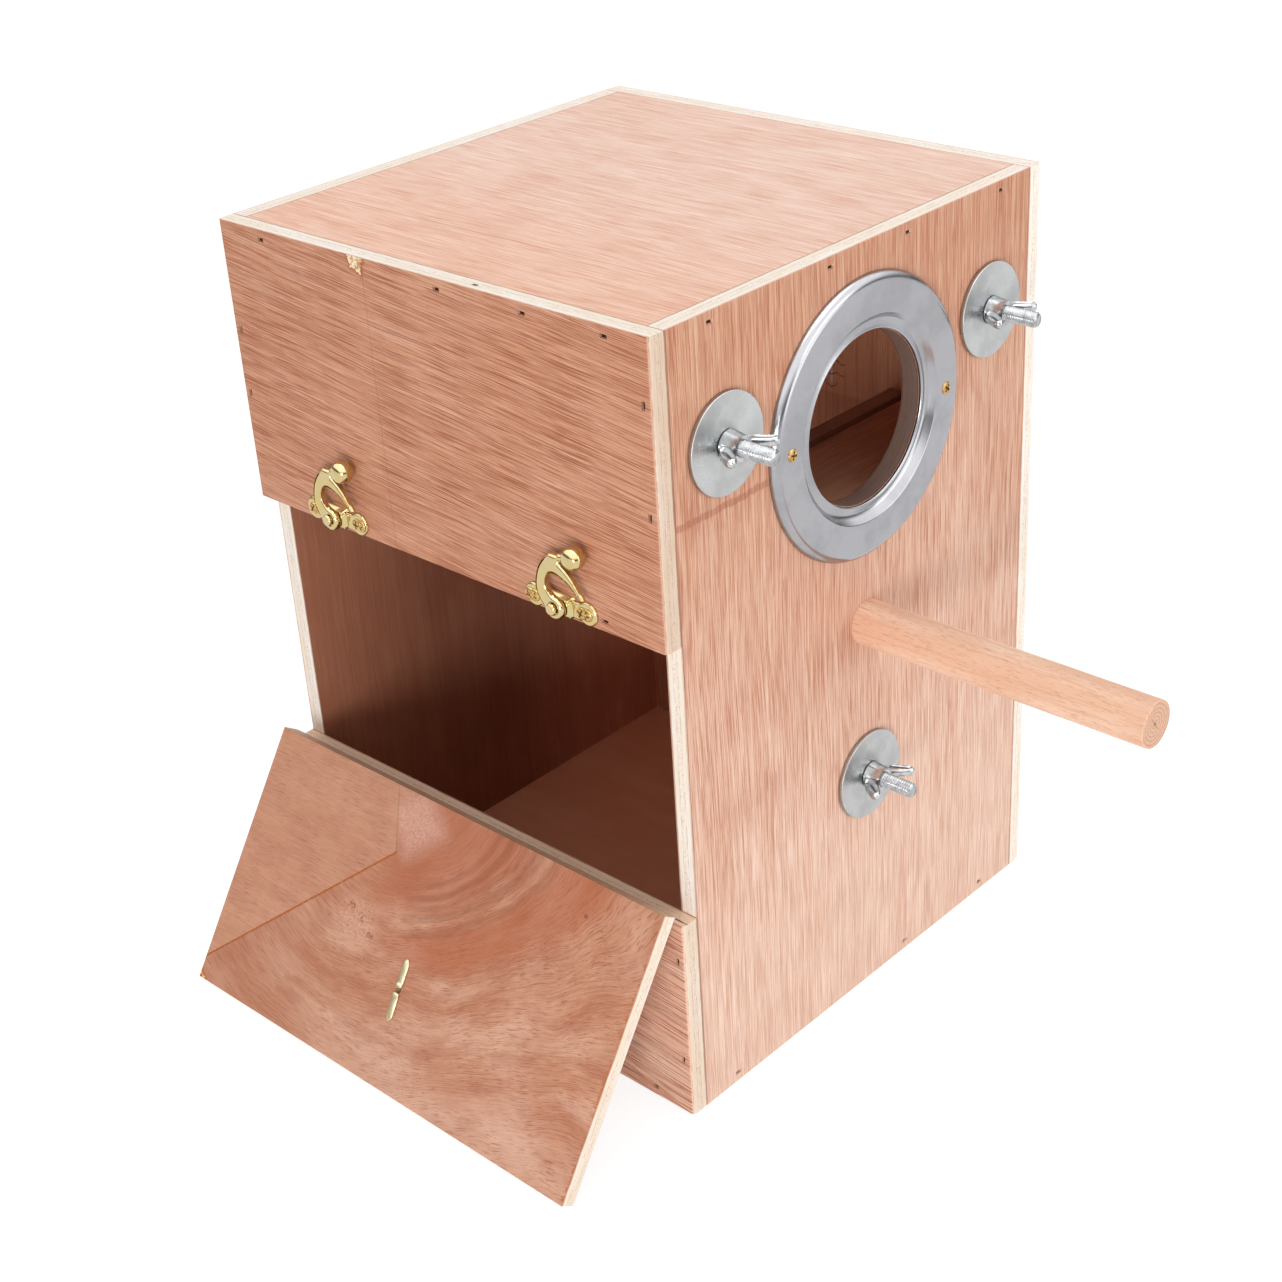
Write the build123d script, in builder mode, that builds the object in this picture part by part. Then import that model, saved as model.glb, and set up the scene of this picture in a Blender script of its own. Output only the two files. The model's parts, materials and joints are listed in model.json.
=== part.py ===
from build123d import *
import os
from math import acos, atan2, cos, degrees, hypot, radians, sin

os.makedirs("parts", exist_ok=True)

# Nest box of plywood boards, all lengths in millimetres.
# Z is up, the entrance faces -Y, the drop-down door faces -X, the origin is under the box's centre.

# Box
box_width = 208.0
box_depth = 208.0
box_height = 300.0
board = 7.3
floor_board = 5.2
corner_round = 1.5
door_bottom = 84.2
door_top = 191.8
overrun = 2.0
part_gap = 0.3
pilot_clearance = 0.05
bearing_clearance = 0.06

# Brads that hold the boards, driven below the faces
brad_length = 20.0
brad_shank = 1.1
brad_head_length = 2.4
brad_head_width = 1.2
brad_head_thickness = 0.6
brad_sink = 0.7
brad_pit_length = 3.0
brad_pit_width = 1.5
floor_brad_share = 0.7
door_top_brad_shares = (-0.387, 0.05, 0.24, 0.41)
door_upper_right_brad_shares = (0.924, 0.798)
door_upper_left_brad_shares = (0.863, 0.781)
door_lower_right_brad_shares = (0.226, 0.079)
door_lower_left_brad_shares = (0.213, 0.07)
door_floor_brad_shares = (0.41, -0.15, -0.4)
entrance_top_brad_shares = (-0.368, -0.082, 0.119, 0.381)
entrance_floor_brad_shares = (-0.379, 0.113, 0.36)
far_row_brad_shares = (-0.41, -0.14, 0.15, 0.41)
far_column_brad_shares = (0.92, 0.7, 0.45, 0.24, 0.08)
opposite_row_brad_shares = (-0.37, -0.12, 0.14, 0.37)
shelf_brad_share = 0.37

# Landing shelf under the entrance, with a lip strip along its edge
shelf_depth = 47.3
lip_width = 7.3
lip_rise = 2.5

# Entrance hole and its pressed metal ring
entrance_drop = 62.3
entrance_radius = 31.0
ring_bore_clearance = 0.7
ring_foot_width = 2.9
ring_slope_width = 2.9
ring_land_width = 10.7
ring_height = 3.0
ring_sheet = 0.8
ring_screw_inset = 5.2
ring_screw_tilt = -3.5
ring_screw_head_radius = 2.8
ring_screw_head_height = 1.4
ring_screw_shank_radius = 1.3
ring_screw_length = 8.6
screw_rim_share = 0.25
recess_width_share = 0.28
recess_length_share = 1.1
recess_depth_share = 0.6
screw_point_share = 1.6

# Perch
perch_gap = 18.9
perch_radius = 8.5
perch_length = 118.0
perch_end_chamfer = 0.6
perch_screw_head_radius = 4.2
perch_screw_head_height = 2.4
perch_screw_shank_radius = 2.0
perch_screw_length = 34.0

# Bolts, washers and wing nuts for hanging the box on a cage
bolt_space_share = 0.18421
upper_bolt_share = 0.849
lower_bolt_gap = 38.1
bolt_radius = 2.9
bolt_length = 30.0
bolt_hole_radius = 3.2
bolt_tip_chamfer = 0.6
bolt_head_flats = 10.0
bolt_head_height = 4.0
inner_washer_radius = 9.0
inner_washer_thickness = 1.6
washer_radius = 17.5
washer_thickness = 1.5
nut_bore_clearance = 0.07
nut_base_radius = 5.2
nut_top_radius = 4.3
nut_height = 6.0
wing_reach = 12.2
wing_rise = 11.4
wing_thickness = 3.4
wing_outline_shares = ((0.28, 0.08), (0.5, 0.08), (0.76, 0.36), (0.97, 0.74), (1.0, 0.88), (0.93, 0.99),
                       (0.83, 1.0), (0.71, 0.93), (0.28, 0.42))
wing_slot_shares = ((0.5, 0.27), (0.61, 0.25), (0.9, 0.82), (0.8, 0.84))

# Hook latches on the board above the door
latch_inset = 46.5
latch_rise = 4.4
lug_spacing = 24.6
lug_radius = 4.3
lug_plate = 1.2
lug_web = 6.4
saddle_length = 13.0
saddle_width = 8.2
saddle_corner = 2.0
saddle_height = 2.6
saddle_taper = 20.0
latch_screw_head_radius = 2.3
latch_screw_head_height = 1.0
latch_screw_shank_radius = 1.2
latch_screw_length = 7.6
rivet_radius = 1.6
rivet_head_radius = 2.3
rivet_head_height = 1.0
arm_thickness = 2.1
arm_boss_radius = 4.3
arm_reach = 20.6
knob_radius = 4.2
knob_offset_shares = (0.587, 1.087)
arm_stem_width = 2.6
arm_limb_outer_shares = ((-0.2, -0.02), (-0.3, 0.117), (-0.354, 0.286), (-0.335, 0.476), (-0.282, 0.636),
                         (-0.194, 0.786), (-0.092, 0.908), (-0.015, 0.995))
arm_peak_share = (0.18, 0.99)
arm_leg_outer_shares = ((0.214, 0.859), (0.37, 0.76), (0.485, 0.65), (0.575, 0.53), (0.65, 0.41), (0.7, 0.33))
arm_leg_inner_shares = ((0.62, 0.32), (0.54, 0.42), (0.456, 0.5), (0.32, 0.58), (0.19, 0.635), (0.06, 0.655),
                        (-0.034, 0.62), (-0.1, 0.54), (-0.131, 0.447), (-0.125, 0.36), (-0.053, 0.257),
                        (0.073, 0.17), (0.155, 0.087), (0.19, -0.02))

# Keepers on the door
keeper_drop = 6.5
keeper_length = 20.0
keeper_width = 8.0
keeper_plate = 0.8
keeper_screw_spacing = 14.4
keeper_post_radius = 1.5
keeper_head_radius = 1.9
keeper_head_height = 0.6

# Door, its hinges, and its pull
door_top_gap = 0.6
door_bottom_gap = 0.5
door_side_gap = 1.5
door_proud = 0.5
hinge_offset = 1.5
hinge_rise = 2.3
door_edge_clearance = 0.2
hinge_inset = 44.0
hinge_length = 25.0
leaf_width = 12.0
leaf_thickness = 0.7
knuckle_radius = 1.5
hinge_pin_radius = 0.75
pin_head_radius = 1.1
pin_head_thickness = 0.3
middle_knuckle = 8.8
leaf_screw_spacing = 15.0
leaf_screw_inset = 4.6
flat_screw_head_radius = 1.5
flat_screw_shank_radius = 0.8
flat_screw_length = 6.2
sink_angle = 90.0
pull_height = 68.0
rosette_radius = 7.0
rosette_thickness = 1.2
rosette_taper = 20.0
eye_wire_radius = 0.8
pin_shaft_radius = 1.1
pin_hole_radius = 1.3
pin_leg_length = 10.5
pin_leg_width = 2.0
pin_leg_root_width = 1.6
pin_leg_thickness = 0.8
pin_leg_belly_share = 0.62
pull_ring_radius = 9.0
pull_ring_wire_radius = 1.1

# Derived places
inner_x = box_width / 2 - board
inner_y = box_depth / 2 - board
roof_line = box_height - board / 2
floor_line = floor_board * floor_brad_share
side_line = box_depth / 2 - board / 2
latch_height = door_top + latch_rise
arm_back = saddle_height + part_gap
arm_front = arm_back + arm_thickness
keeper_head_seat = arm_front + part_gap - door_proud
ring_bore_radius = entrance_radius + ring_bore_clearance
ring_foot_radius = ring_bore_radius + ring_foot_width
ring_shoulder_radius = ring_foot_radius + ring_slope_width
ring_screw_radius = ring_shoulder_radius + ring_screw_inset
ring_crown_radius = ring_shoulder_radius + ring_land_width
ring_outer_radius = ring_crown_radius + ring_height
knob_place = (knob_offset_shares[0] * arm_reach, knob_offset_shares[1] * arm_reach)
entrance_height = box_height - entrance_drop
perch_height = entrance_height - ring_outer_radius - perch_gap - perch_radius
bolt_near = ring_outer_radius + washer_radius
bolt_across = bolt_near + bolt_space_share * (inner_x - inner_washer_radius - bolt_near)
bolt_places = [
    (-bolt_across, upper_bolt_share * box_height),
    (bolt_across, upper_bolt_share * box_height),
    (0, perch_height - perch_radius - lower_bolt_gap - washer_radius),
]
latch_across = box_depth / 2 - latch_inset
hinge_across = box_depth / 2 - hinge_inset
latch_sides = [("left", -latch_across), ("right", latch_across)]
hinge_sides = [("left", -hinge_across), ("right", hinge_across)]

# Planes on the outer faces, each with its Z outwards and its Y upwards
door_face = Plane(origin=(-box_width / 2, 0, 0), x_dir=(0, -1, 0), z_dir=(-1, 0, 0))
entrance_face = Plane(origin=(0, -box_depth / 2, 0), x_dir=(1, 0, 0), z_dir=(0, -1, 0))
opposite_face = Plane(origin=(0, box_depth / 2, 0), x_dir=(-1, 0, 0), z_dir=(0, 1, 0))
far_face = Plane(origin=(box_width / 2, 0, 0), x_dir=(0, 1, 0), z_dir=(1, 0, 0))

# The open door leans with its free edge just clear of the table
hinge_z = door_bottom + hinge_rise
door_inset = hinge_offset - door_proud
door_low = door_bottom + door_bottom_gap - hinge_z
door_high = door_top - door_top_gap - hinge_z
door_reach = hypot(door_high, door_inset)
opening_angle = atan2(door_inset, door_high) + acos((door_edge_clearance - hinge_z) / door_reach)
hinge_line = (-box_width / 2 - hinge_offset, 0, hinge_z)
closed_plane = Plane(origin=hinge_line, x_dir=(0, -1, 0), z_dir=(-1, 0, 0))
open_plane = Plane(origin=hinge_line, x_dir=(0, -1, 0), z_dir=(-cos(opening_angle), 0, -sin(opening_angle)))
door_skin = open_plane.offset(-door_inset)


def spot(face, across, up):
    """Plane parallel to a face, with its origin at a place on that face."""
    return Plane(origin=face.from_local_coords((across, up, 0)), x_dir=face.x_dir, z_dir=face.z_dir)


def side_spot(face, across, up):
    """The same place, turned so that the local X runs up the face."""
    return Plane(origin=face.from_local_coords((across, up, 0)), x_dir=face.y_dir, z_dir=face.z_dir)


def turning(face, across, up):
    """Half-profile plane of a turned piece: X is its radius and Y its axis, out of the face."""
    return Plane(origin=face.from_local_coords((across, up, 0)), x_dir=face.x_dir, z_dir=-face.y_dir)


def axis_at(face, across, up):
    """Axis out of a face at a place on it."""
    return Axis(face.from_local_coords((across, up, 0)), face.z_dir)


def hinge_bar(across):
    """Plane across the hinge line at a place along it, with its Z along the line."""
    return Plane(
        origin=closed_plane.from_local_coords((across, 0, 0)), x_dir=closed_plane.y_dir, z_dir=closed_plane.x_dir
    )


def domed_screw(head_radius, head_height, shank_radius, length):
    """Wood screw along local Z with a domed cross-recess head, its underside at zero."""
    rim = head_height * screw_rim_share
    with BuildPart() as screw:
        with BuildSketch(Plane.XZ):
            with BuildLine():
                TangentArc((0, head_height), (head_radius, rim), tangent=(1, 0))
                Polyline(
                    (head_radius, rim),
                    (head_radius, 0),
                    (shank_radius, 0),
                    (shank_radius, shank_radius * screw_point_share - length),
                    (0, -length),
                    (0, head_height),
                )
            make_face()
        revolve(axis=Axis.Z)
        with BuildSketch(Plane.XY.offset(head_height)):
            Rectangle(head_radius * recess_length_share, head_radius * recess_width_share)
            Rectangle(head_radius * recess_width_share, head_radius * recess_length_share)
        extrude(amount=-head_height * recess_depth_share, mode=Mode.SUBTRACT)
    return screw.part


def flat_screw(head_radius, shank_radius, length):
    """Countersunk wood screw along local Z, its flat cross-recess head flush at zero."""
    cone = head_radius - shank_radius
    with BuildPart() as screw:
        with BuildSketch(Plane.XZ):
            with BuildLine():
                Polyline(
                    (0, 0),
                    (head_radius, 0),
                    (shank_radius, -cone),
                    (shank_radius, shank_radius * screw_point_share - length),
                    (0, -length),
                    (0, 0),
                )
            make_face()
        revolve(axis=Axis.Z)
        with BuildSketch(Plane.XY):
            Rectangle(head_radius * recess_length_share, head_radius * recess_width_share)
            Rectangle(head_radius * recess_width_share, head_radius * recess_length_share)
        extrude(amount=-cone * recess_depth_share, mode=Mode.SUBTRACT)
    return screw.part


# Brad, and the space that it takes with the pit over its sunk head
with BuildPart() as brad:
    with BuildSketch(Plane.XY.offset(-brad_sink)):
        Rectangle(brad_head_length, brad_head_width)
    extrude(amount=-brad_head_thickness)
    with BuildSketch(Plane.XY.offset(-brad_sink)):
        Rectangle(brad_shank, brad_shank)
    extrude(amount=-brad_length)

with BuildPart() as brad_space:
    add(brad.part)
    with BuildSketch(Plane.XY.offset(-brad_sink)):
        Rectangle(brad_pit_length, brad_pit_width)
    extrude(amount=brad_sink + overrun)

door_brads = (
    [spot(door_face, share * box_depth, roof_line) for share in door_top_brad_shares]
    + [side_spot(door_face, side_line, share * box_height) for share in door_upper_right_brad_shares]
    + [side_spot(door_face, -side_line, share * box_height) for share in door_upper_left_brad_shares]
    + [side_spot(door_face, side_line, share * box_height) for share in door_lower_right_brad_shares]
    + [side_spot(door_face, -side_line, share * box_height) for share in door_lower_left_brad_shares]
    + [spot(door_face, share * box_depth, floor_line) for share in door_floor_brad_shares]
    + [spot(door_face, shelf_brad_share * box_depth, door_top + board / 2)]
)
entrance_brads = (
    [spot(entrance_face, share * box_width, roof_line) for share in entrance_top_brad_shares]
    + [spot(entrance_face, share * box_width, floor_line) for share in entrance_floor_brad_shares]
)
far_brads = (
    [spot(far_face, share * box_depth, roof_line) for share in far_row_brad_shares]
    + [spot(far_face, share * box_depth, floor_line) for share in far_row_brad_shares]
    + [side_spot(far_face, side_line, share * box_height) for share in far_column_brad_shares]
    + [side_spot(far_face, -side_line, share * box_height) for share in far_column_brad_shares]
    + [spot(far_face, -shelf_brad_share * box_depth, door_top + board / 2)]
)
opposite_brads = (
    [spot(opposite_face, share * box_width, roof_line) for share in opposite_row_brad_shares]
    + [spot(opposite_face, share * box_width, floor_line) for share in opposite_row_brad_shares]
)
all_brads = door_brads + entrance_brads + far_brads + opposite_brads

for side, places in (
    ("door_side", door_brads),
    ("entrance_side", entrance_brads),
    ("far_side", far_brads),
    ("opposite_side", opposite_brads),
):
    with BuildPart() as brads:
        with Locations(*places):
            add(brad.part)
    brads.part.label = f"brads_{side}"
    export_step(brads.part, f"parts/brads_{side}.step")

# Entrance panel, between the two side boards
perch_screw_places = [(0, perch_height)]
ring_screw_places = [
    (-ring_screw_radius * cos(radians(ring_screw_tilt)),
     entrance_height - ring_screw_radius * sin(radians(ring_screw_tilt))),
    (ring_screw_radius * cos(radians(ring_screw_tilt)),
     entrance_height + ring_screw_radius * sin(radians(ring_screw_tilt))),
]
with BuildPart() as entrance_panel:
    with BuildSketch(entrance_face):
        with Locations((0, box_height / 2)):
            Rectangle(2 * inner_x, box_height)
        with Locations((0, entrance_height)):
            Circle(entrance_radius, mode=Mode.SUBTRACT)
        with Locations(*bolt_places):
            Circle(bolt_hole_radius, mode=Mode.SUBTRACT)
        with Locations(*perch_screw_places):
            Circle(perch_screw_shank_radius + pilot_clearance, mode=Mode.SUBTRACT)
        with Locations(*ring_screw_places):
            Circle(ring_screw_shank_radius + pilot_clearance, mode=Mode.SUBTRACT)
    extrude(amount=-board)
    with Locations(*all_brads):
        add(brad_space.part, mode=Mode.SUBTRACT)
entrance_panel.part.label = "entrance_panel"
export_step(entrance_panel.part, "parts/entrance_panel.step")

# Opposite panel
with BuildPart() as opposite_panel:
    with BuildSketch(opposite_face):
        with Locations((0, box_height / 2)):
            Rectangle(2 * inner_x, box_height)
    extrude(amount=-board)
    with Locations(*all_brads):
        add(brad_space.part, mode=Mode.SUBTRACT)
opposite_panel.part.label = "opposite_panel"
export_step(opposite_panel.part, "parts/opposite_panel.step")

# Far side panel, the full depth of the box, with its outer upright edges eased
with BuildPart() as far_side_panel:
    with BuildSketch(far_face):
        with Locations((0, box_height / 2)):
            Rectangle(box_depth, box_height)
    extrude(amount=-board)
    fillet(far_side_panel.edges().filter_by(Axis.Z).group_by(Axis.X)[-1], corner_round)
    with Locations(*all_brads):
        add(brad_space.part, mode=Mode.SUBTRACT)
far_side_panel.part.label = "far_side_panel"
export_step(far_side_panel.part, "parts/far_side_panel.step")

# Board above the door, which carries the latches
latch_screw_places = [
    (centre + end * lug_spacing / 2, latch_height) for side, centre in latch_sides for end in (-1, 1)
]
with BuildPart() as upper_door_side_panel:
    with BuildSketch(door_face):
        with Locations((0, (box_height + door_top) / 2)):
            Rectangle(box_depth, box_height - door_top)
    extrude(amount=-board)
    fillet(upper_door_side_panel.edges().filter_by(Axis.Z).group_by(Axis.X)[0], corner_round)
    with BuildSketch(door_face):
        with Locations(*latch_screw_places):
            Circle(latch_screw_shank_radius + pilot_clearance)
    extrude(amount=lug_plate - latch_screw_length, mode=Mode.SUBTRACT)
    with Locations(*all_brads):
        add(brad_space.part, mode=Mode.SUBTRACT)
upper_door_side_panel.part.label = "upper_door_side_panel"
export_step(upper_door_side_panel.part, "parts/upper_door_side_panel.step")

# Board below the door, which carries the hinges
leaf_screw_places = [
    (centre + end * leaf_screw_spacing / 2, leaf_width - leaf_screw_inset)
    for side, centre in hinge_sides
    for end in (-1, 1)
]
fixed_screw_places = [(across, -up) for across, up in leaf_screw_places]
fixed_leaf_skin = closed_plane.offset(leaf_thickness - hinge_offset)
moving_leaf_skin = door_skin.offset(leaf_thickness)
with BuildPart() as lower_door_side_panel:
    with BuildSketch(door_face):
        with Locations((0, door_bottom / 2)):
            Rectangle(box_depth, door_bottom)
    extrude(amount=-board)
    fillet(lower_door_side_panel.edges().filter_by(Axis.Z).group_by(Axis.X)[0], corner_round)
    with BuildSketch(fixed_leaf_skin):
        with Locations(*fixed_screw_places):
            Circle(flat_screw_shank_radius + pilot_clearance)
    extrude(amount=-flat_screw_length, mode=Mode.SUBTRACT)
    with Locations(*all_brads):
        add(brad_space.part, mode=Mode.SUBTRACT)
lower_door_side_panel.part.label = "lower_door_side_panel"
export_step(lower_door_side_panel.part, "parts/lower_door_side_panel.step")

# Roof and floor, both set in between the four upright boards
with BuildPart() as roof_panel:
    with BuildSketch(Plane.XY.offset(box_height - board)):
        Rectangle(2 * inner_x, 2 * inner_y)
    extrude(amount=board)
    with Locations(*all_brads):
        add(brad_space.part, mode=Mode.SUBTRACT)
roof_panel.part.label = "roof_panel"
export_step(roof_panel.part, "parts/roof_panel.step")

with BuildPart() as floor_panel:
    with BuildSketch(Plane.XY):
        Rectangle(2 * inner_x, 2 * inner_y)
    extrude(amount=floor_board)
    with Locations(*all_brads):
        add(brad_space.part, mode=Mode.SUBTRACT)
floor_panel.part.label = "floor_panel"
export_step(floor_panel.part, "parts/floor_panel.step")

# Landing shelf and its lip strip
with BuildPart() as landing_shelf:
    with BuildSketch(Plane.XY.offset(door_top)):
        with Locations((0, shelf_depth / 2 - inner_y)):
            Rectangle(2 * inner_x, shelf_depth)
    extrude(amount=board)
    with Locations(*all_brads):
        add(brad_space.part, mode=Mode.SUBTRACT)
landing_shelf.part.label = "landing_shelf"
export_step(landing_shelf.part, "parts/landing_shelf.step")

with BuildPart() as shelf_lip:
    with BuildSketch(Plane.XY.offset(door_top)):
        with Locations((0, shelf_depth + lip_width / 2 - inner_y)):
            Rectangle(2 * inner_x, lip_width)
    extrude(amount=board + lip_rise)
shelf_lip.part.label = "shelf_lip"
export_step(shelf_lip.part, "parts/shelf_lip.step")

# Pressed ring round the entrance, turned from its sheet section
with BuildPart() as entrance_ring:
    with BuildSketch(turning(entrance_face, 0, entrance_height)):
        with BuildLine():
            Polyline(
                (ring_crown_radius, ring_height),
                (ring_shoulder_radius, ring_height),
                (ring_foot_radius, ring_sheet),
                (ring_bore_radius, ring_sheet),
                (ring_bore_radius, 0),
                (ring_foot_radius - ring_sheet / 2, 0),
                (ring_shoulder_radius - ring_sheet / 2, ring_height - ring_sheet),
                (ring_crown_radius, ring_height - ring_sheet),
            )
            TangentArc(
                (ring_crown_radius, ring_height - ring_sheet), (ring_outer_radius - ring_sheet, 0), tangent=(1, 0)
            )
            Line((ring_outer_radius - ring_sheet, 0), (ring_outer_radius, 0))
            TangentArc((ring_crown_radius, ring_height), (ring_outer_radius, 0), tangent=(1, 0))
        make_face()
    revolve(axis=axis_at(entrance_face, 0, entrance_height))
    with BuildSketch(entrance_face):
        with Locations(*ring_screw_places):
            Circle(ring_screw_shank_radius + pilot_clearance)
    extrude(amount=ring_height + overrun, mode=Mode.SUBTRACT)
entrance_ring.part.label = "entrance_ring"
export_step(entrance_ring.part, "parts/entrance_ring.step")

ring_screw = domed_screw(
    ring_screw_head_radius, ring_screw_head_height, ring_screw_shank_radius, ring_screw_length
)
with BuildPart() as entrance_ring_screws:
    with Locations(*[spot(entrance_face.offset(ring_height), x, z) for x, z in ring_screw_places]):
        add(ring_screw)
entrance_ring_screws.part.label = "entrance_ring_screws"
export_step(entrance_ring_screws.part, "parts/entrance_ring_screws.step")

# Perch dowel, held by a screw from inside the box
inside_entrance = Plane(
    origin=entrance_face.from_local_coords((0, 0, -board)), x_dir=entrance_face.x_dir, z_dir=-entrance_face.z_dir
)
perch_grip = perch_screw_length - board
with BuildPart() as perch:
    with BuildSketch(entrance_face):
        with Locations(*perch_screw_places):
            Circle(perch_radius)
    extrude(amount=perch_length)
    chamfer(perch.edges().group_by(Axis.Y)[0], perch_end_chamfer)
    with BuildSketch(entrance_face):
        with Locations(*perch_screw_places):
            Circle(perch_screw_shank_radius + pilot_clearance)
    extrude(amount=perch_grip, mode=Mode.SUBTRACT)
perch.part.label = "perch"
export_step(perch.part, "parts/perch.step")

long_screw = domed_screw(
    perch_screw_head_radius, perch_screw_head_height, perch_screw_shank_radius, perch_screw_length
)
with BuildPart() as perch_screw:
    with Locations(spot(inside_entrance, 0, -perch_height)):
        add(long_screw)
perch_screw.part.label = "perch_screw"
export_step(perch_screw.part, "parts/perch_screw.step")

# Bolts with their hexagon heads and washers inside the box
head_seat = entrance_face.offset(-board - inner_washer_thickness)
with BuildPart() as mounting_bolts:
    with BuildSketch(head_seat):
        with Locations(*bolt_places):
            RegularPolygon(bolt_head_flats / 2, 6, major_radius=False)
    extrude(amount=-bolt_head_height)
    with BuildSketch(head_seat):
        with Locations(*bolt_places):
            Circle(bolt_radius)
    extrude(amount=bolt_length)
    chamfer(mounting_bolts.edges().filter_by(GeomType.CIRCLE).group_by(Axis.Y)[0], bolt_tip_chamfer)
mounting_bolts.part.label = "mounting_bolts"
export_step(mounting_bolts.part, "parts/mounting_bolts.step")

with BuildPart() as inner_washers:
    with BuildSketch(head_seat):
        with Locations(*bolt_places):
            Circle(inner_washer_radius)
            Circle(bolt_hole_radius, mode=Mode.SUBTRACT)
    extrude(amount=inner_washer_thickness)
inner_washers.part.label = "inner_washers"
export_step(inner_washers.part, "parts/inner_washers.step")

# Outer washers and wing nuts, one pair on each bolt
wing_outline = [(x * wing_reach, y * wing_rise) for x, y in wing_outline_shares]
wing_slot = [(x * wing_reach, y * wing_rise) for x, y in wing_slot_shares]
nut_seat = entrance_face.offset(part_gap + washer_thickness + part_gap)
for name, (bolt_x, bolt_z) in zip(("upper_left", "upper_right", "lower"), bolt_places):
    with BuildPart() as washer:
        with BuildSketch(spot(entrance_face.offset(part_gap), bolt_x, bolt_z)):
            Circle(washer_radius)
            Circle(bolt_hole_radius, mode=Mode.SUBTRACT)
        extrude(amount=washer_thickness)
    washer.part.label = f"outer_washer_{name}"
    export_step(washer.part, f"parts/outer_washer_{name}.step")

    profile_plane = turning(nut_seat, bolt_x, bolt_z)
    with BuildPart() as wing_nut:
        with BuildSketch(profile_plane):
            Polygon(
                (0, 0), (nut_base_radius, 0), (nut_top_radius, nut_height), (0, nut_height), align=None
            )
        revolve(axis=axis_at(nut_seat, bolt_x, bolt_z))
        with BuildSketch(profile_plane):
            Polygon(*wing_outline, align=None)
            Polygon(*wing_slot, align=None, mode=Mode.SUBTRACT)
        extrude(amount=wing_thickness / 2, both=True)
        with BuildSketch(profile_plane):
            Polygon(*[(-x, y) for x, y in wing_outline], align=None)
            Polygon(*[(-x, y) for x, y in wing_slot], align=None, mode=Mode.SUBTRACT)
        extrude(amount=wing_thickness / 2, both=True)
        with BuildSketch(spot(nut_seat, bolt_x, bolt_z)):
            Circle(bolt_radius + nut_bore_clearance)
        extrude(amount=wing_rise + overrun, mode=Mode.SUBTRACT)
    wing_nut.part.label = f"wing_nut_{name}"
    export_step(wing_nut.part, f"parts/wing_nut_{name}.step")

# Latches: a base with two lugs, a rivet and the horn-shaped arm, drawn from the pivot
latch_screw = domed_screw(
    latch_screw_head_radius, latch_screw_head_height, latch_screw_shank_radius, latch_screw_length
)
limb_outer = [(x * arm_reach, y * arm_reach) for x, y in arm_limb_outer_shares]
leg_outer = [(x * arm_reach, y * arm_reach) for x, y in arm_leg_outer_shares]
leg_inner = [(x * arm_reach, y * arm_reach) for x, y in arm_leg_inner_shares]
arm_peak = (arm_peak_share[0] * arm_reach, arm_peak_share[1] * arm_reach)
stem_length = hypot(knob_place[0] - arm_peak[0], knob_place[1] - arm_peak[1])
stem_angle = degrees(atan2(knob_place[1] - arm_peak[1], knob_place[0] - arm_peak[0]))
stem_middle = ((knob_place[0] + arm_peak[0]) / 2, (knob_place[1] + arm_peak[1]) / 2 - arm_stem_width / 4)
for side, centre in latch_sides:
    base_plane = spot(door_face, centre, latch_height)
    with BuildPart() as latch_base:
        with BuildSketch(base_plane):
            with Locations((-lug_spacing / 2, 0), (lug_spacing / 2, 0)):
                Circle(lug_radius)
            Rectangle(lug_spacing, lug_web)
            with Locations((-lug_spacing / 2, 0), (lug_spacing / 2, 0)):
                Circle(latch_screw_shank_radius + pilot_clearance, mode=Mode.SUBTRACT)
        extrude(amount=lug_plate)
        with BuildSketch(base_plane):
            RectangleRounded(saddle_length, saddle_width, saddle_corner)
        extrude(amount=saddle_height, taper=saddle_taper)
        with BuildSketch(base_plane):
            Circle(rivet_radius + pilot_clearance)
        extrude(amount=saddle_height + overrun, mode=Mode.SUBTRACT)
    latch_base.part.label = f"latch_base_{side}"
    export_step(latch_base.part, f"parts/latch_base_{side}.step")

    with BuildPart() as latch_rivet:
        with BuildSketch(base_plane):
            Circle(rivet_radius)
        extrude(amount=arm_front + part_gap)
        with BuildSketch(base_plane.offset(arm_front + part_gap)):
            Circle(rivet_head_radius)
        extrude(amount=rivet_head_height, taper=saddle_taper)
    latch_rivet.part.label = f"latch_rivet_{side}"
    export_step(latch_rivet.part, f"parts/latch_rivet_{side}.step")

    with BuildPart() as latch_arm:
        with BuildSketch(base_plane.offset(arm_back)):
            with BuildLine():
                Spline(*limb_outer)
                Polyline(limb_outer[-1], arm_peak, leg_outer[0])
                Spline(*leg_outer)
                Line(leg_outer[-1], leg_inner[0])
                Spline(*leg_inner)
                Line(leg_inner[-1], limb_outer[0])
            make_face()
            Circle(arm_boss_radius)
            with Locations(stem_middle):
                Rectangle(stem_length, arm_stem_width, rotation=stem_angle)
        extrude(amount=arm_thickness)
        with Locations(spot(door_face.offset(arm_front), centre + knob_place[0], latch_height + knob_place[1])):
            Sphere(knob_radius)
        with BuildSketch(base_plane.offset(arm_back)):
            Circle(rivet_radius + bearing_clearance)
        extrude(amount=arm_thickness + overrun, mode=Mode.SUBTRACT)
    latch_arm.part.label = f"latch_arm_{side}"
    export_step(latch_arm.part, f"parts/latch_arm_{side}.step")

with BuildPart() as latch_screws:
    with Locations(*[spot(door_face.offset(lug_plate), across, up) for across, up in latch_screw_places]):
        add(latch_screw)
latch_screws.part.label = "latch_screws"
export_step(latch_screws.part, "parts/latch_screws.step")

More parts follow.
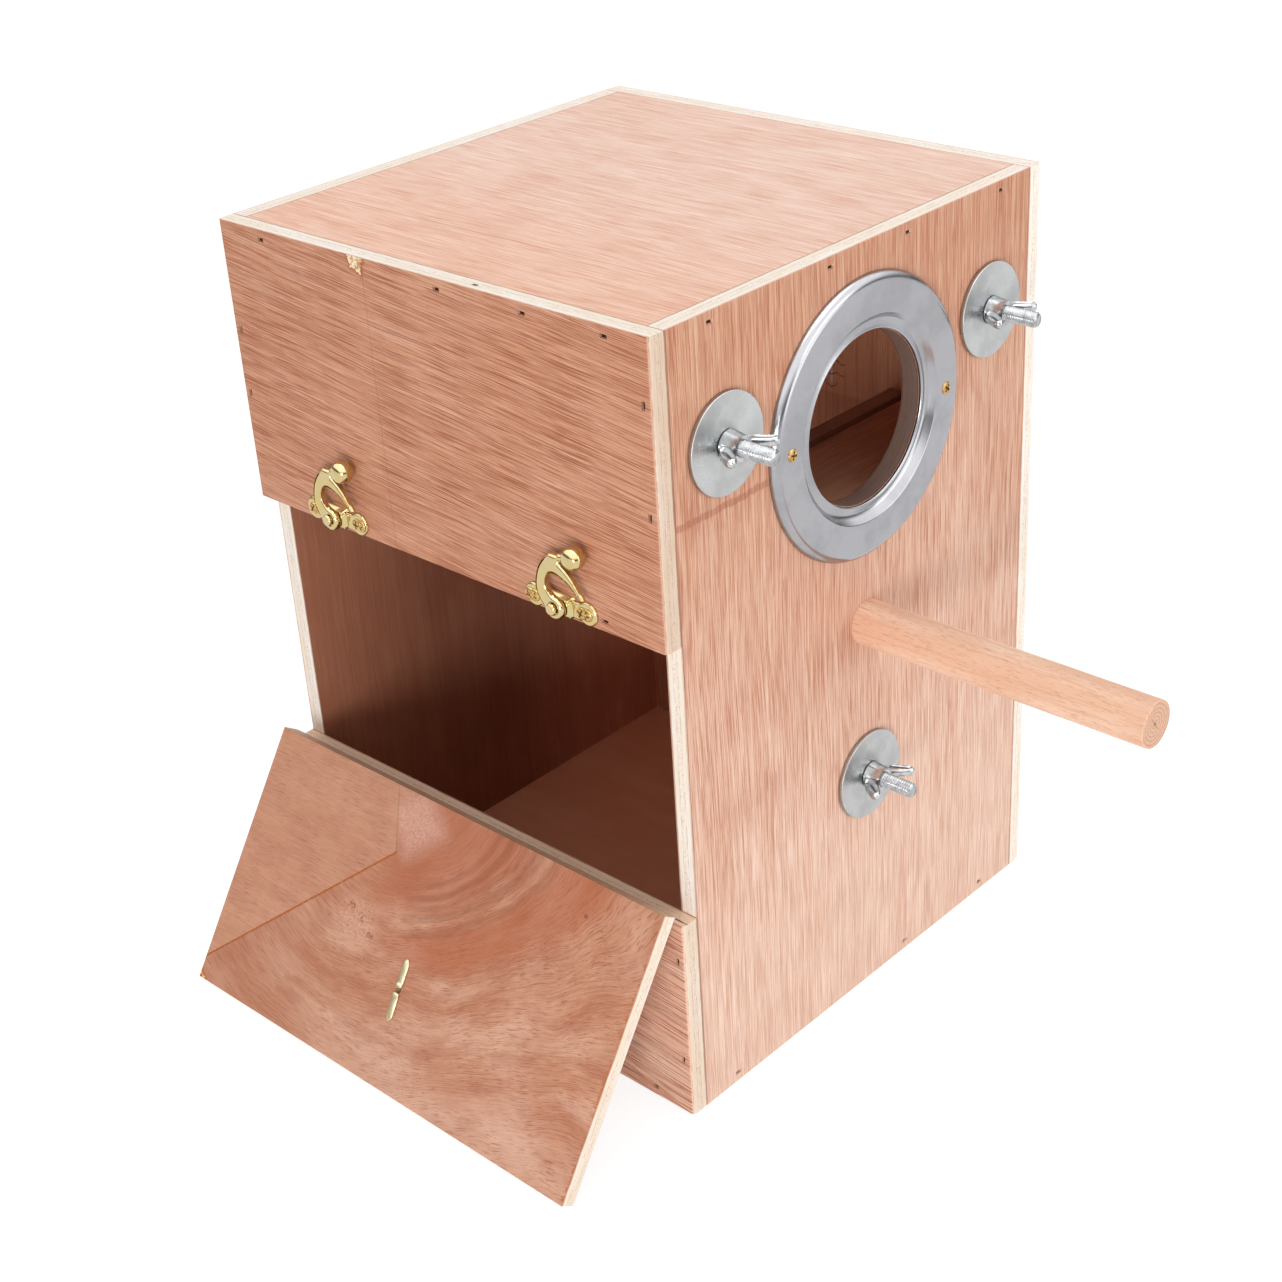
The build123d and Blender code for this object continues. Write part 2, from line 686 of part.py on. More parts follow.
# Door, drawn open on its own plane: X along the hinge line, Y towards the free edge
keeper_up = door_top - keeper_drop - hinge_z
keeper_screw_places = [
    (centre + end * keeper_screw_spacing / 2, keeper_up) for side, centre in latch_sides for end in (-1, 1)
]
relief_length = hinge_length + 2 * (pin_head_thickness + part_gap)
with BuildPart() as door_flap:
    with BuildSketch(door_skin):
        with Locations((0, (door_low + door_high) / 2)):
            Rectangle(box_depth - 2 * door_side_gap, door_high - door_low)
    extrude(amount=-board)
    side_edges = door_flap.edges().filter_by(Axis(open_plane.origin, open_plane.y_dir))
    fillet(side_edges.sort_by(Axis(open_plane.origin, open_plane.z_dir))[-2:], corner_round)
    with Locations(*[hinge_bar(centre) for side, centre in hinge_sides]):
        Cylinder(knuckle_radius + part_gap, relief_length, mode=Mode.SUBTRACT)
    with BuildSketch(door_skin):
        with Locations(*[(centre, door_low / 2) for side, centre in hinge_sides]):
            Rectangle(relief_length, -door_low)
    extrude(amount=-door_proud - part_gap, mode=Mode.SUBTRACT)
    with BuildSketch(moving_leaf_skin):
        with Locations(*leaf_screw_places):
            Circle(flat_screw_shank_radius + pilot_clearance)
    extrude(amount=-flat_screw_length, mode=Mode.SUBTRACT)
    with BuildSketch(door_skin.offset(keeper_plate)):
        with Locations(*keeper_screw_places):
            Circle(flat_screw_shank_radius + pilot_clearance)
    extrude(amount=-flat_screw_length, mode=Mode.SUBTRACT)
    with BuildSketch(door_skin):
        with Locations((0, pull_height)):
            Circle(pin_hole_radius)
    extrude(amount=-board, mode=Mode.SUBTRACT)
door_flap.part.label = "door_flap"
export_step(door_flap.part, "parts/door_flap.step")

# Keepers that the latch arms hook round
for side, centre in latch_sides:
    keeper_plane = spot(door_skin, centre, keeper_up)
    with BuildPart() as latch_keeper:
        with BuildSketch(keeper_plane):
            SlotOverall(keeper_length, keeper_width)
        extrude(amount=keeper_plate)
        with BuildSketch(keeper_plane):
            Circle(keeper_post_radius)
        extrude(amount=keeper_head_seat)
        with BuildSketch(keeper_plane.offset(keeper_head_seat)):
            Circle(keeper_head_radius)
        extrude(amount=keeper_head_height)
        with Locations(
            *[keeper_plane.offset(keeper_plate) * Pos(end * keeper_screw_spacing / 2, 0, 0) for end in (-1, 1)]
        ):
            CounterSinkHole(
                flat_screw_shank_radius + pilot_clearance,
                flat_screw_head_radius + pilot_clearance,
                counter_sink_angle=sink_angle,
            )
    latch_keeper.part.label = f"latch_keeper_{side}"
    export_step(latch_keeper.part, f"parts/latch_keeper_{side}.step")

small_screw = flat_screw(flat_screw_head_radius, flat_screw_shank_radius, flat_screw_length)
with BuildPart() as keeper_screws:
    with Locations(*[spot(door_skin.offset(keeper_plate), x, y) for x, y in keeper_screw_places]):
        add(small_screw)
keeper_screws.part.label = "keeper_screws"
export_step(keeper_screws.part, "parts/keeper_screws.step")

# Butt hinges: the fixed leaf has the two end knuckles, the moving leaf the middle one
end_knuckle = (hinge_length - middle_knuckle) / 2 - part_gap
end_knuckle_centre = (hinge_length - end_knuckle) / 2
for side, centre in hinge_sides:
    with BuildPart() as fixed_leaf:
        with BuildSketch(closed_plane.offset(-hinge_offset)):
            with Locations((centre, -leaf_width / 2)):
                Rectangle(hinge_length, leaf_width)
        extrude(amount=leaf_thickness)
        with Locations(*[hinge_bar(centre + end * end_knuckle_centre) for end in (-1, 1)]):
            Cylinder(knuckle_radius, end_knuckle)
        with Locations(hinge_bar(centre)):
            Cylinder(knuckle_radius + part_gap, middle_knuckle + 2 * part_gap, mode=Mode.SUBTRACT)
            Cylinder(hinge_pin_radius + pilot_clearance, hinge_length, mode=Mode.SUBTRACT)
        with Locations(
            *[spot(fixed_leaf_skin, centre + end * leaf_screw_spacing / 2, leaf_screw_inset - leaf_width)
              for end in (-1, 1)]
        ):
            CounterSinkHole(
                flat_screw_shank_radius + pilot_clearance,
                flat_screw_head_radius + pilot_clearance,
                counter_sink_angle=sink_angle,
            )
    fixed_leaf.part.label = f"hinge_leaf_fixed_{side}"
    export_step(fixed_leaf.part, f"parts/hinge_leaf_fixed_{side}.step")

    with BuildPart() as moving_leaf:
        with BuildSketch(door_skin):
            with Locations((centre, leaf_width / 2)):
                Rectangle(hinge_length, leaf_width)
        extrude(amount=leaf_thickness)
        with Locations(*[hinge_bar(centre + end * end_knuckle_centre) for end in (-1, 1)]):
            Cylinder(knuckle_radius + part_gap, end_knuckle + 2 * part_gap, mode=Mode.SUBTRACT)
        with Locations(hinge_bar(centre)):
            Cylinder(knuckle_radius, middle_knuckle)
            Cylinder(hinge_pin_radius + pilot_clearance, hinge_length, mode=Mode.SUBTRACT)
        with Locations(
            *[spot(moving_leaf_skin, centre + end * leaf_screw_spacing / 2, leaf_width - leaf_screw_inset)
              for end in (-1, 1)]
        ):
            CounterSinkHole(
                flat_screw_shank_radius + pilot_clearance,
                flat_screw_head_radius + pilot_clearance,
                counter_sink_angle=sink_angle,
            )
    moving_leaf.part.label = f"hinge_leaf_moving_{side}"
    export_step(moving_leaf.part, f"parts/hinge_leaf_moving_{side}.step")

    with BuildPart() as hinge_pin:
        with Locations(hinge_bar(centre)):
            Cylinder(hinge_pin_radius, hinge_length)
        with Locations(*[hinge_bar(centre + end * (hinge_length + pin_head_thickness) / 2) for end in (-1, 1)]):
            Cylinder(pin_head_radius, pin_head_thickness)
    hinge_pin.part.label = f"hinge_pin_{side}"
    export_step(hinge_pin.part, f"parts/hinge_pin_{side}.step")

with BuildPart() as hinge_screws_fixed:
    with Locations(*[spot(fixed_leaf_skin, x, y) for x, y in fixed_screw_places]):
        add(small_screw)
hinge_screws_fixed.part.label = "hinge_screws_fixed"
export_step(hinge_screws_fixed.part, "parts/hinge_screws_fixed.step")

with BuildPart() as hinge_screws_moving:
    with Locations(*[spot(moving_leaf_skin, x, y) for x, y in leaf_screw_places]):
        add(small_screw)
hinge_screws_moving.part.label = "hinge_screws_moving"
export_step(hinge_screws_moving.part, "parts/hinge_screws_moving.step")

# Pull on the door's outer face: rosette, split pin bent over on the inner face, and drop ring
pull_plane = spot(door_skin, 0, pull_height)
eye_radius = pull_ring_wire_radius + part_gap + eye_wire_radius
eye_up = rosette_thickness + eye_radius + eye_wire_radius
eye_centre = pull_plane.from_local_coords((0, 0, eye_up))
leg_half = [
    (-pin_leg_root_width / 2, 0),
    (-pin_leg_width / 2, pin_leg_length * pin_leg_belly_share),
    (0, pin_leg_length),
    (pin_leg_width / 2, pin_leg_length * pin_leg_belly_share),
    (pin_leg_root_width / 2, 0),
]
with BuildPart() as pull_rosette:
    with BuildSketch(pull_plane):
        Circle(rosette_radius)
    extrude(amount=rosette_thickness, taper=rosette_taper)
    with BuildSketch(pull_plane):
        Circle(pin_hole_radius)
    extrude(amount=rosette_thickness, mode=Mode.SUBTRACT)
pull_rosette.part.label = "pull_rosette"
export_step(pull_rosette.part, "parts/pull_rosette.step")

with BuildPart() as pull_split_pin:
    with Locations(Plane(origin=eye_centre, x_dir=pull_plane.y_dir, z_dir=pull_plane.x_dir)):
        Torus(eye_radius, eye_wire_radius)
    with BuildSketch(pull_plane.offset(-board)):
        Circle(pin_shaft_radius)
    extrude(amount=board + rosette_thickness + eye_wire_radius)
    with BuildSketch(pull_plane.offset(-board)):
        Polygon(*leg_half, align=None)
        Polygon(*[(-x, -y) for x, y in leg_half], align=None)
    extrude(amount=-pin_leg_thickness)
pull_split_pin.part.label = "pull_split_pin"
export_step(pull_split_pin.part, "parts/pull_split_pin.step")

ring_centre = eye_centre - Vector(0, 0, pull_ring_radius)
with BuildPart() as pull_ring:
    with Locations(Plane(origin=ring_centre, x_dir=(0, 0, 1), z_dir=(1, 0, 0))):
        Torus(pull_ring_radius, pull_ring_wire_radius)
pull_ring.part.label = "pull_ring"
export_step(pull_ring.part, "parts/pull_ring.step")
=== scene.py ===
import bmesh
import bpy
import json
from math import cos, pi, radians, sin, sqrt
from mathutils import Matrix, Vector
from mathutils.geometry import delaunay_2d_cdt

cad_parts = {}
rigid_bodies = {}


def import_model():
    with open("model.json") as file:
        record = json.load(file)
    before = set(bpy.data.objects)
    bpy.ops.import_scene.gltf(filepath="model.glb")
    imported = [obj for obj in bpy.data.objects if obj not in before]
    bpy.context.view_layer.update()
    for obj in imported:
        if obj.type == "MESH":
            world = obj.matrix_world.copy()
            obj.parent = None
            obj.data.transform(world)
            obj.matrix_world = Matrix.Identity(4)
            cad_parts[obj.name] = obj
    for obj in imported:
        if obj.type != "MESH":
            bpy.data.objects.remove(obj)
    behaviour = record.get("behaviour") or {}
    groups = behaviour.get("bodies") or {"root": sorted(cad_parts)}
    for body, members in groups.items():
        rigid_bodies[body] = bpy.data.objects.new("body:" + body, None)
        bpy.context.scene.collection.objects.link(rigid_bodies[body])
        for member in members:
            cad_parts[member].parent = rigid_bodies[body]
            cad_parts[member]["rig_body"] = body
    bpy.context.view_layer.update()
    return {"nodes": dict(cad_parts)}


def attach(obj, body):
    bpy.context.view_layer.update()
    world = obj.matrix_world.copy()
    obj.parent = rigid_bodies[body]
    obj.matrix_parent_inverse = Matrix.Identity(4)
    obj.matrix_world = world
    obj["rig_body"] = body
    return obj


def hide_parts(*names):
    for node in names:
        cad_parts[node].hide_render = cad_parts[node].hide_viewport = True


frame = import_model()
MM = 0.001
UP, DOWN = (0, 0, 1), (0, 0, -1)
FRONT, BACK = (0, -1, 0), (0, 1, 0)
NEAR, FAR = (-1, 0, 0), (1, 0, 0)  # towards the door's side, and away from it
HIGH = 300.0  # the box, in millimetres like all that follows
FACE = 104.0  # from the middle to each outer face
BOARD = 7.3
ENTRANCE_Z = 237.7
PERCH_Z = 159.1
BOLT_ROOT = -95.1
BOLT_LONG = 30.0
scene = bpy.context.scene
scene.view_settings.view_transform = "Standard"


# ---------------------------------------------------------------- camera, stage and light

def camera():
    """Fitted to the corners of the box."""
    az, el, roll = radians(-45.48), radians(28.86), radians(-3.78)
    back = Vector((sin(az) * cos(el), -cos(az) * cos(el), sin(el)))
    right = Vector((cos(az), sin(az), 0))
    up = back.cross(right)
    r2 = right * cos(roll) + up * sin(roll)
    u2 = -right * sin(roll) + up * cos(roll)
    place = Vector((0, 0, HIGH / 2)) + back * 833.8 - r2 * 0.016 * HIGH - u2 * 0.098 * HIGH
    data = bpy.data.cameras.new("camera")
    data.sensor_width = 36
    data.lens = 60.04
    data.clip_start, data.clip_end = 0.01, 50
    cam = bpy.data.objects.new("camera", data)
    cam.matrix_world = Matrix((
        (r2.x, u2.x, back.x, place.x * MM),
        (r2.y, u2.y, back.y, place.y * MM),
        (r2.z, u2.z, back.z, place.z * MM),
        (0, 0, 0, 1),
    ))
    scene.collection.objects.link(cam)
    scene.camera = cam


def rgb(r, g, b):
    def lin(c):
        c /= 255
        return c / 12.92 if c <= 0.04045 else ((c + 0.055) / 1.055) ** 2.4
    return (lin(r), lin(g), lin(b), 1)


class Nodes:
    """Short way to build a node tree."""

    def __init__(self, tree):
        self.tree = tree
        tree.nodes.clear()

    def add(self, kind, *values, **named):
        node = self.tree.nodes.new("ShaderNode" + kind)
        for key, value in named.items():
            if key.startswith("in_"):
                self.feed(node.inputs[key[3:].replace("_", " ")], value)
            else:
                setattr(node, key, value)
        for i, value in enumerate(values):
            if value is not None:
                self.feed(node.inputs[i], value)
        return node

    def feed(self, socket, value):
        if isinstance(value, bpy.types.NodeSocket):
            self.tree.links.new(value, socket)
        else:
            socket.default_value = value

    def math(self, op, *values):
        return self.add("Math", *values, operation=op).outputs[0]

    def mul(self, a, *others):
        for b in others:
            a = self.math("MULTIPLY", a, b)
        return a

    def plus(self, a, b):
        return self.math("ADD", a, b)

    def minus(self, a, b):
        return self.math("SUBTRACT", a, b)

    def larger(self, a, b):
        return self.math("MAXIMUM", a, b)

    def above(self, a, b):
        return self.math("GREATER_THAN", a, b)

    def below(self, a, b):
        return self.math("LESS_THAN", a, b)

    def size(self, a):
        return self.math("ABSOLUTE", a)

    def length(self, a, b, share=1.0):
        """Distance from two coordinates, the second one's square scaled."""
        return self.math("SQRT", self.plus(self.math("POWER", a, 2.0), self.mul(self.math("POWER", b, 2.0), share)))

    def dot(self, vector, axis):
        return self.add("VectorMath", vector, tuple(axis), operation="DOT_PRODUCT").outputs["Value"]

    def place(self):
        """Object coordinates in millimetres."""
        return self.add("VectorMath", self.add("TexCoord").outputs["Object"], (1000, 1000, 1000),
                        operation="MULTIPLY").outputs[0]

    def mix(self, amount, a, b, blend="MIX"):
        node = self.add("Mix", data_type="RGBA", blend_type=blend)
        self.feed(node.inputs[0], amount)
        self.feed(node.inputs[6], a)
        self.feed(node.inputs[7], b)
        return node.outputs[2]

    def times(self, colour, r, g, b):
        return self.mix(1.0, colour, (r, g, b, 1), "MULTIPLY")

    def tint(self, amount, colour, r, g, b):
        """Mixes in, by `amount`, the colour multiplied by a plain one."""
        return self.mix(amount, colour, self.times(colour, r, g, b))

    def jitter(self, value, noise, swing):
        """A value moved to and fro by a noise."""
        return self.plus(value, self.mul(self.minus(noise, 0.5), swing))

    def ramp(self, value, a, b, low=0.0, high=1.0, smooth=True):
        node = self.add("MapRange", value, a, b, low, high)
        node.interpolation_type = "SMOOTHSTEP" if smooth else "LINEAR"
        return node.outputs[0]

    def near(self, value, place, width, soft=1.0):
        """1 where a value is within `width` of `place`, falling off over `soft`."""
        return self.ramp(self.size(self.minus(value, place)), width + soft, width)

    def vec(self, x, y, z):
        return self.add("CombineXYZ", x, y, z).outputs[0]

    def noise(self, vector, scale=1.0, detail=2.0, rough=0.5):
        node = self.add("TexNoise", in_Vector=vector, in_Scale=scale, in_Detail=detail, in_Roughness=rough)
        return node.outputs["Fac"]

    def bump(self, height, distance, strength=1.0):
        return self.add("Bump", in_Height=height, in_Distance=distance, in_Strength=strength).outputs[0]


def material(name):
    m = bpy.data.materials.new(name)
    m.use_nodes = True
    n = Nodes(m.node_tree)
    out = n.add("OutputMaterial")
    shader = n.add("BsdfPrincipled")
    m.node_tree.links.new(shader.outputs[0], out.inputs[0])
    return m, n, shader


def studio():
    world = bpy.data.worlds.new("studio")
    scene.world = world
    world.use_nodes = True
    n = Nodes(world.node_tree)
    path = n.add("LightPath").outputs
    height = n.add("SeparateXYZ", n.add("TexCoord").outputs["Generated"]).outputs[2]
    plain = n.add("Background", (1, 0.985, 0.965, 1), 0.5)
    sky = n.add("Background", (1, 1, 1, 1), n.ramp(height, 0.04, 0.50, 0.12, 1.9))
    white = n.add("Background", (1, 1, 1, 1), 1.0)
    pick = n.add("MixShader", path["Is Glossy Ray"], plain.outputs[0], sky.outputs[0])
    pick = n.add("MixShader", n.larger(path["Is Camera Ray"], path["Is Transmission Ray"]), pick.outputs[0],
                 white.outputs[0])
    out = n.add("OutputWorld")
    world.node_tree.links.new(pick.outputs[0], out.inputs[0])

    mesh = bpy.data.meshes.new("floor")
    mesh.from_pydata([(-6, -6, 0), (6, -6, 0), (6, 6, 0), (-6, 6, 0)], [], [(0, 1, 2, 3)])
    floor = bpy.data.objects.new("floor", mesh)
    floor.location.z = -0.0004
    m = bpy.data.materials.new("floor")
    m.use_nodes = True
    n = Nodes(m.node_tree)
    path = n.add("LightPath").outputs
    matte = n.add("BsdfDiffuse", (0.9, 0.89, 0.88, 1))
    part = n.add("BsdfDiffuse", (0.30, 0.30, 0.30, 1))
    glow = n.add("Emission", (1, 1, 1, 1), 0.85)
    lit = n.add("AddShader", part.outputs[0], glow.outputs[0])
    seen = n.add("MixShader", n.larger(path["Is Camera Ray"], path["Is Glossy Ray"]), matte.outputs[0], lit.outputs[0])
    out = n.add("OutputMaterial")
    m.node_tree.links.new(seen.outputs[0], out.inputs[0])
    mesh.materials.append(m)
    scene.collection.objects.link(floor)

    for name, place, size, power in (
        ("key", (0.45, -1.45, 0.42), 1.1, 7.0),
        ("top", (0.1, -0.1, 1.7), 1.2, 10),
        ("fill", (-1.5, -0.15, 0.45), 0.9, 0.8),
        ("low", (-1.22, -0.84, 0.12), 0.6, 11.0),
    ):
        light = bpy.data.lights.new(name, "AREA")
        light.size = size
        light.energy = power
        lamp = bpy.data.objects.new(name, light)
        lamp.location = place
        lamp.rotation_euler = (Vector((0, 0, 0.15)) - Vector(place)).to_track_quat("-Z", "Y").to_euler()
        scene.collection.objects.link(lamp)


# ---------------------------------------------------------------- wood

def group(name, ins, outs):
    """New node group, with its tree, a way to build in it, its inputs and its outputs."""
    tree = bpy.data.node_groups.new(name, "ShaderNodeTree")
    kinds = {"v": "NodeSocketVector", "f": "NodeSocketFloat", "c": "NodeSocketColor"}
    for label, kind in ins:
        tree.interface.new_socket(label, in_out="INPUT", socket_type=kinds[kind])
    for label, kind in outs:
        tree.interface.new_socket(label, in_out="OUTPUT", socket_type=kinds[kind])
    n = Nodes(tree)
    entry = tree.nodes.new("NodeGroupInput")
    leave = tree.nodes.new("NodeGroupOutput")
    return tree, n, entry.outputs, leave.inputs


def veneer_group():
    """Rotary-cut veneer: X runs along the grain and Y across it, in millimetres, and Z parts one sheet from the
    next. Strength is that of the pores, Mottle of the clouds and Silk of the strands."""
    tree, n, i, o = group("veneer", [("Place", "v"), ("Pale", "c"), ("Warm", "c"), ("Pore", "c"), ("Strength", "f"),
                                     ("Mottle", "f"), ("Silk", "f")], [("Color", "c"), ("Height", "f")])
    xyz = n.add("SeparateXYZ", i["Place"]).outputs
    u, v, w = xyz[0], xyz[1], xyz[2]

    def field(a, b, shift, detail=2.0, rough=0.5, across=None):
        return n.noise(n.vec(n.mul(u, a), n.mul(across or v, b), n.plus(w, shift)), 1.0, detail, rough)

    drift = n.minus(field(0.008, 0.020, 0.0), 0.5)
    v2 = n.plus(v, n.mul(drift, 5.0))
    cloud = field(0.020, 0.045, 3.0, 3.0, 0.6, v2)
    band = field(0.005, 0.16, 7.0, 3.0, 0.65, v2)
    strand = field(0.016, 2.3, 11.0, 3.0, 0.7, v2)
    fleck = field(0.036, 2.7, 13.0, 1.0, 0.5, v2)
    hair = field(0.026, 1.7, 17.0, 1.0, 0.5, v2)
    gate = field(0.040, 0.35, 19.0, 1.0, 0.5, v2)
    fine = field(0.25, 4.0, 23.0, 2.0, 0.6, v2)

    thick = n.ramp(cloud, 0.36, 0.60, 0.82, 1.0)
    lines = n.ramp(n.size(n.minus(hair, 0.5)), 0.055, 0.015)
    lines = n.mul(lines, n.ramp(gate, 0.46, 0.56))
    flecks = n.ramp(fleck, 0.54, 0.61)
    pore = n.mul(n.larger(flecks, n.mul(lines, 0.7)), thick)
    pore = n.mul(pore, i["Strength"])

    c = n.mix(n.mul(n.ramp(cloud, 0.36, 0.62), i["Mottle"]), i["Pale"], i["Warm"])
    c = n.mix(n.mul(n.ramp(band, 0.42, 0.62), 0.38), c, i["Warm"])
    deep = n.mix(n.mul(i["Strength"], 0.5), i["Warm"], i["Pore"])
    c = n.mix(n.mul(n.ramp(strand, 0.50, 0.57), n.mul(i["Silk"], 0.75)), c, deep)
    c = n.mix(n.mul(n.ramp(strand, 0.46, 0.38), n.mul(i["Silk"], 0.60)), c, n.mix(0.42, i["Pale"], (1, 0.95, 0.89, 1)))
    c = n.mix(n.mul(n.ramp(fine, 0.52, 0.64), n.mul(i["Strength"], 0.22)), c, i["Pore"])
    c = n.mix(n.mul(pore, 0.85), c, i["Pore"])
    height = n.minus(n.plus(n.mul(strand, 0.5), n.mul(fine, 0.25)), pore)
    tree.links.new(c, o["Color"])
    tree.links.new(height, o["Height"])
    return tree


def ply_group():
    """Sawn plywood edge: X runs along the edge, Y through the board, both in millimetres, and Depth is the share of
    the thickness."""
    tree, n, i, o = group("ply", [("Place", "v"), ("Depth", "f"), ("Skin", "c")], [("Color", "c"), ("Height", "f")])
    xyz = n.add("SeparateXYZ", i["Place"]).outputs
    u, v, w = xyz[0], xyz[1], xyz[2]

    def field(a, b, shift, detail=3.0, rough=0.6):
        return n.noise(n.vec(n.mul(u, a), n.mul(v, b), n.plus(w, shift)), 1.0, detail, rough)

    d = n.plus(i["Depth"], n.mul(n.minus(field(0.09, 0.02, 0.0, 2.0), 0.5), 0.10))
    skin = n.larger(n.ramp(d, 0.085, 0.055), n.ramp(d, 0.915, 0.945))
    share = n.mul(n.minus(d, 0.07), 3.4884)
    glue = n.ramp(n.size(n.minus(n.math("FRACT", share), 0.5)), 0.44, 0.49)
    cross = n.ramp(n.size(n.minus(n.math("FLOOR", share), 1.0)), 0.5, 0.4)
    speck = field(1.1, 1.6, 5.0)
    streak = field(0.10, 2.6, 9.0)
    tone = field(0.018, 0.02, 13.0, 2.0)
    c = n.mix(n.ramp(tone, 0.36, 0.64), rgb(252, 244, 236), rgb(248, 235, 220))
    c = n.mix(n.mul(n.ramp(streak, 0.45, 0.72), 0.50), c, rgb(226, 198, 168))
    c = n.mix(n.mul(n.mul(n.ramp(speck, 0.52, 0.68), cross), 0.55), c, rgb(196, 158, 122))
    broken = n.ramp(field(0.25, 0.2, 17.0), 0.42, 0.60, 0.2, 1.0)
    c = n.mix(n.mul(n.mul(glue, broken), 0.78), c, rgb(160, 122, 92))
    c = n.mix(n.mul(skin, 0.75), c, i["Skin"])
    height = n.minus(n.mul(speck, 0.5), n.mul(glue, 0.5))
    tree.links.new(c, o["Color"])
    tree.links.new(height, o["Height"])
    return tree


VENEER = veneer_group()
PLY = ply_group()


def call(n, tree, **values):
    node = n.add("Group", node_tree=tree)
    for key, value in values.items():
        n.feed(node.inputs[key], value)
    return node.outputs


def local(n, origin, u, v, w):
    """Three distances in millimetres from an origin, along three axes of the piece at rest."""
    here = n.add("VectorMath", n.place(), tuple(origin), operation="SUBTRACT").outputs[0]
    return [n.dot(here, axis) for axis in (u, v, w)]


def board_material(name, origin, along, out, seed, tones, inner=None, thick=BOARD, strength=1.0, tilt=0.0, mottle=0.5,
                   silk=0.9, quiet=0.6, faint=0.3, marks=None, warp=None, hole=0, edges=None):
    """Plywood. `origin` (mm) lies on the outer face, `along` is the grain and `out` the outward normal. The inner
    face has tones of its own, with its strands less by `quiet` and its pores by `faint`. `edges` names the board
    whose sawn edges have marks and painted shade of their own, and `hole` gives the entrance hole's wall painted
    shade."""
    m, n, shader = material(name)
    along, out = Vector(along), Vector(out)
    across = out.cross(along)
    u, v, w = local(n, origin, along, across, out)
    face_u, face_v = u, v
    t = radians(tilt)
    if tilt:
        u, v = (n.plus(n.mul(face_u, cos(t)), n.mul(face_v, sin(t))),
                n.minus(n.mul(face_v, cos(t)), n.mul(face_u, sin(t))))
    depth = n.math("DIVIDE", n.mul(w, -1.0), thick)
    side = n.above(depth, 0.5)
    layer = n.plus(n.mul(side, 17.3), seed)
    pale, warm, pore = (n.mix(side, a, b) for a, b in zip(tones, inner or INSIDE))
    if warp:
        u, v, layer = warp(n, u, v, side, layer)
    skin = call(n, VENEER, Place=n.vec(u, v, layer), Pale=pale, Warm=warm, Pore=pore, Mottle=mottle,
                Strength=n.minus(strength, n.mul(side, faint)), Silk=n.minus(silk, n.mul(side, quiet)))
    colour, height = skin["Color"], skin["Height"]
    if marks:
        colour, height = marks(n, face_u, face_v, side, colour, height)
    edge = call(n, PLY, Place=n.vec(n.plus(face_u, face_v), w, n.plus(layer, 5.0)), Depth=depth, Skin=warm)
    normal = n.add("TexCoord").outputs["Normal"]
    mask = n.ramp(n.size(n.dot(normal, out)), 0.80, 0.93)

    def facing(axis):
        return n.ramp(n.size(n.dot(normal, axis)), 0.6, 0.9)

    sawn = edge["Color"]
    if edges == "door":
        # Painted shade: the door's sawn edges a little warmer and darker, and its hinge edge, which faces up, much
        # darker.
        hinged = n.ramp(n.dot(normal, -DOOR_UP), 0.6, 0.9)
        sawn = n.mix(hinged, n.times(sawn, 0.93, 0.90, 0.86), n.times(sawn, 0.74, 0.56, 0.44))
    if edges == "lower":
        # Painted shadow: a broken dark line along the lower board's top edge, next to the door's hinge edge.
        split = n.ramp(n.noise(n.vec(face_u, 4.0, 9.0), 0.045, 3.0, 0.6), 0.44, 0.56)
        sawn = n.mix(n.mul(n.near(depth, 0.30, 0.02, 0.04), split, facing(UP)), sawn, rgb(66, 48, 38))
        # Painted shade: the top edge, beside the hinge, tinted warmer and darker.
        sawn = n.tint(facing(UP), sawn, 1.0, 0.84, 0.72)
        sawn = n.tint(facing(BACK), sawn, 0.84, 0.78, 0.72)
    if edges == "upper":
        nick = n.mul(n.near(face_u, 26.0, 0.9, 0.6), n.near(depth, 0.45, 0.06, 0.05), facing(UP))
        sawn = n.mix(nick, sawn, rgb(84, 48, 30))
        sawn = n.tint(facing(BACK), sawn, 0.74, 0.65, 0.58)
    if hole:
        away = n.length(n.minus(face_u, hole), face_v)
        # Painted shade: the entrance hole's wall darker and redder than its sawn plywood.
        wall = n.mix(n.ramp(edge["Height"], 0.0, 0.6), rgb(86, 52, 40), rgb(112, 74, 58))
        sawn = n.mix(n.mul(n.ramp(away, 34.0, 32.0), 0.9), sawn, wall)
    n.feed(shader.inputs["Base Color"], n.mix(mask, sawn, colour))
    height = n.plus(n.mul(mask, height), n.mul(n.minus(1.0, mask), edge["Height"]))
    n.feed(shader.inputs["Normal"], n.bump(height, 0.00010, 0.7))
    n.feed(shader.inputs["Roughness"], n.ramp(height, -0.6, 0.6, 0.66, 0.50, smooth=False))
    shader.inputs["Specular IOR Level"].default_value = 0.32
    return m


# ---------------------------------------------------------------- meshes

def piece(name, verts, faces, mat, body, nodes=(), slot=None, angle=35, weighted=True, at=(0, 0, 0)):
    """New object from points in millimetres in the CAD frame, with its own origin `at`."""
    mesh = bpy.data.meshes.new(name)
    mesh.from_pydata([tuple((c - a) * MM for c, a in zip(v, at)) for v in verts], [], faces)
    return finish_piece(name, mesh, mat, body, nodes, angle, weighted, at)


def finish_piece(name, mesh, mat, body, nodes, angle=35, weighted=True, at=(0, 0, 0)):
    mesh.validate()
    mesh.materials.clear()
    mesh.materials.append(mat)
    for p in mesh.polygons:
        p.use_smooth = True
    mesh.set_sharp_from_angle(angle=radians(angle))
    o = bpy.data.objects.new(name, mesh)
    o.location = Vector(at) * MM
    scene.collection.objects.link(o)
    if weighted:
        o.modifiers.new("weighted", "WEIGHTED_NORMAL").keep_sharp = True
    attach(o, body)
    if nodes:
        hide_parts(*nodes)
    return o


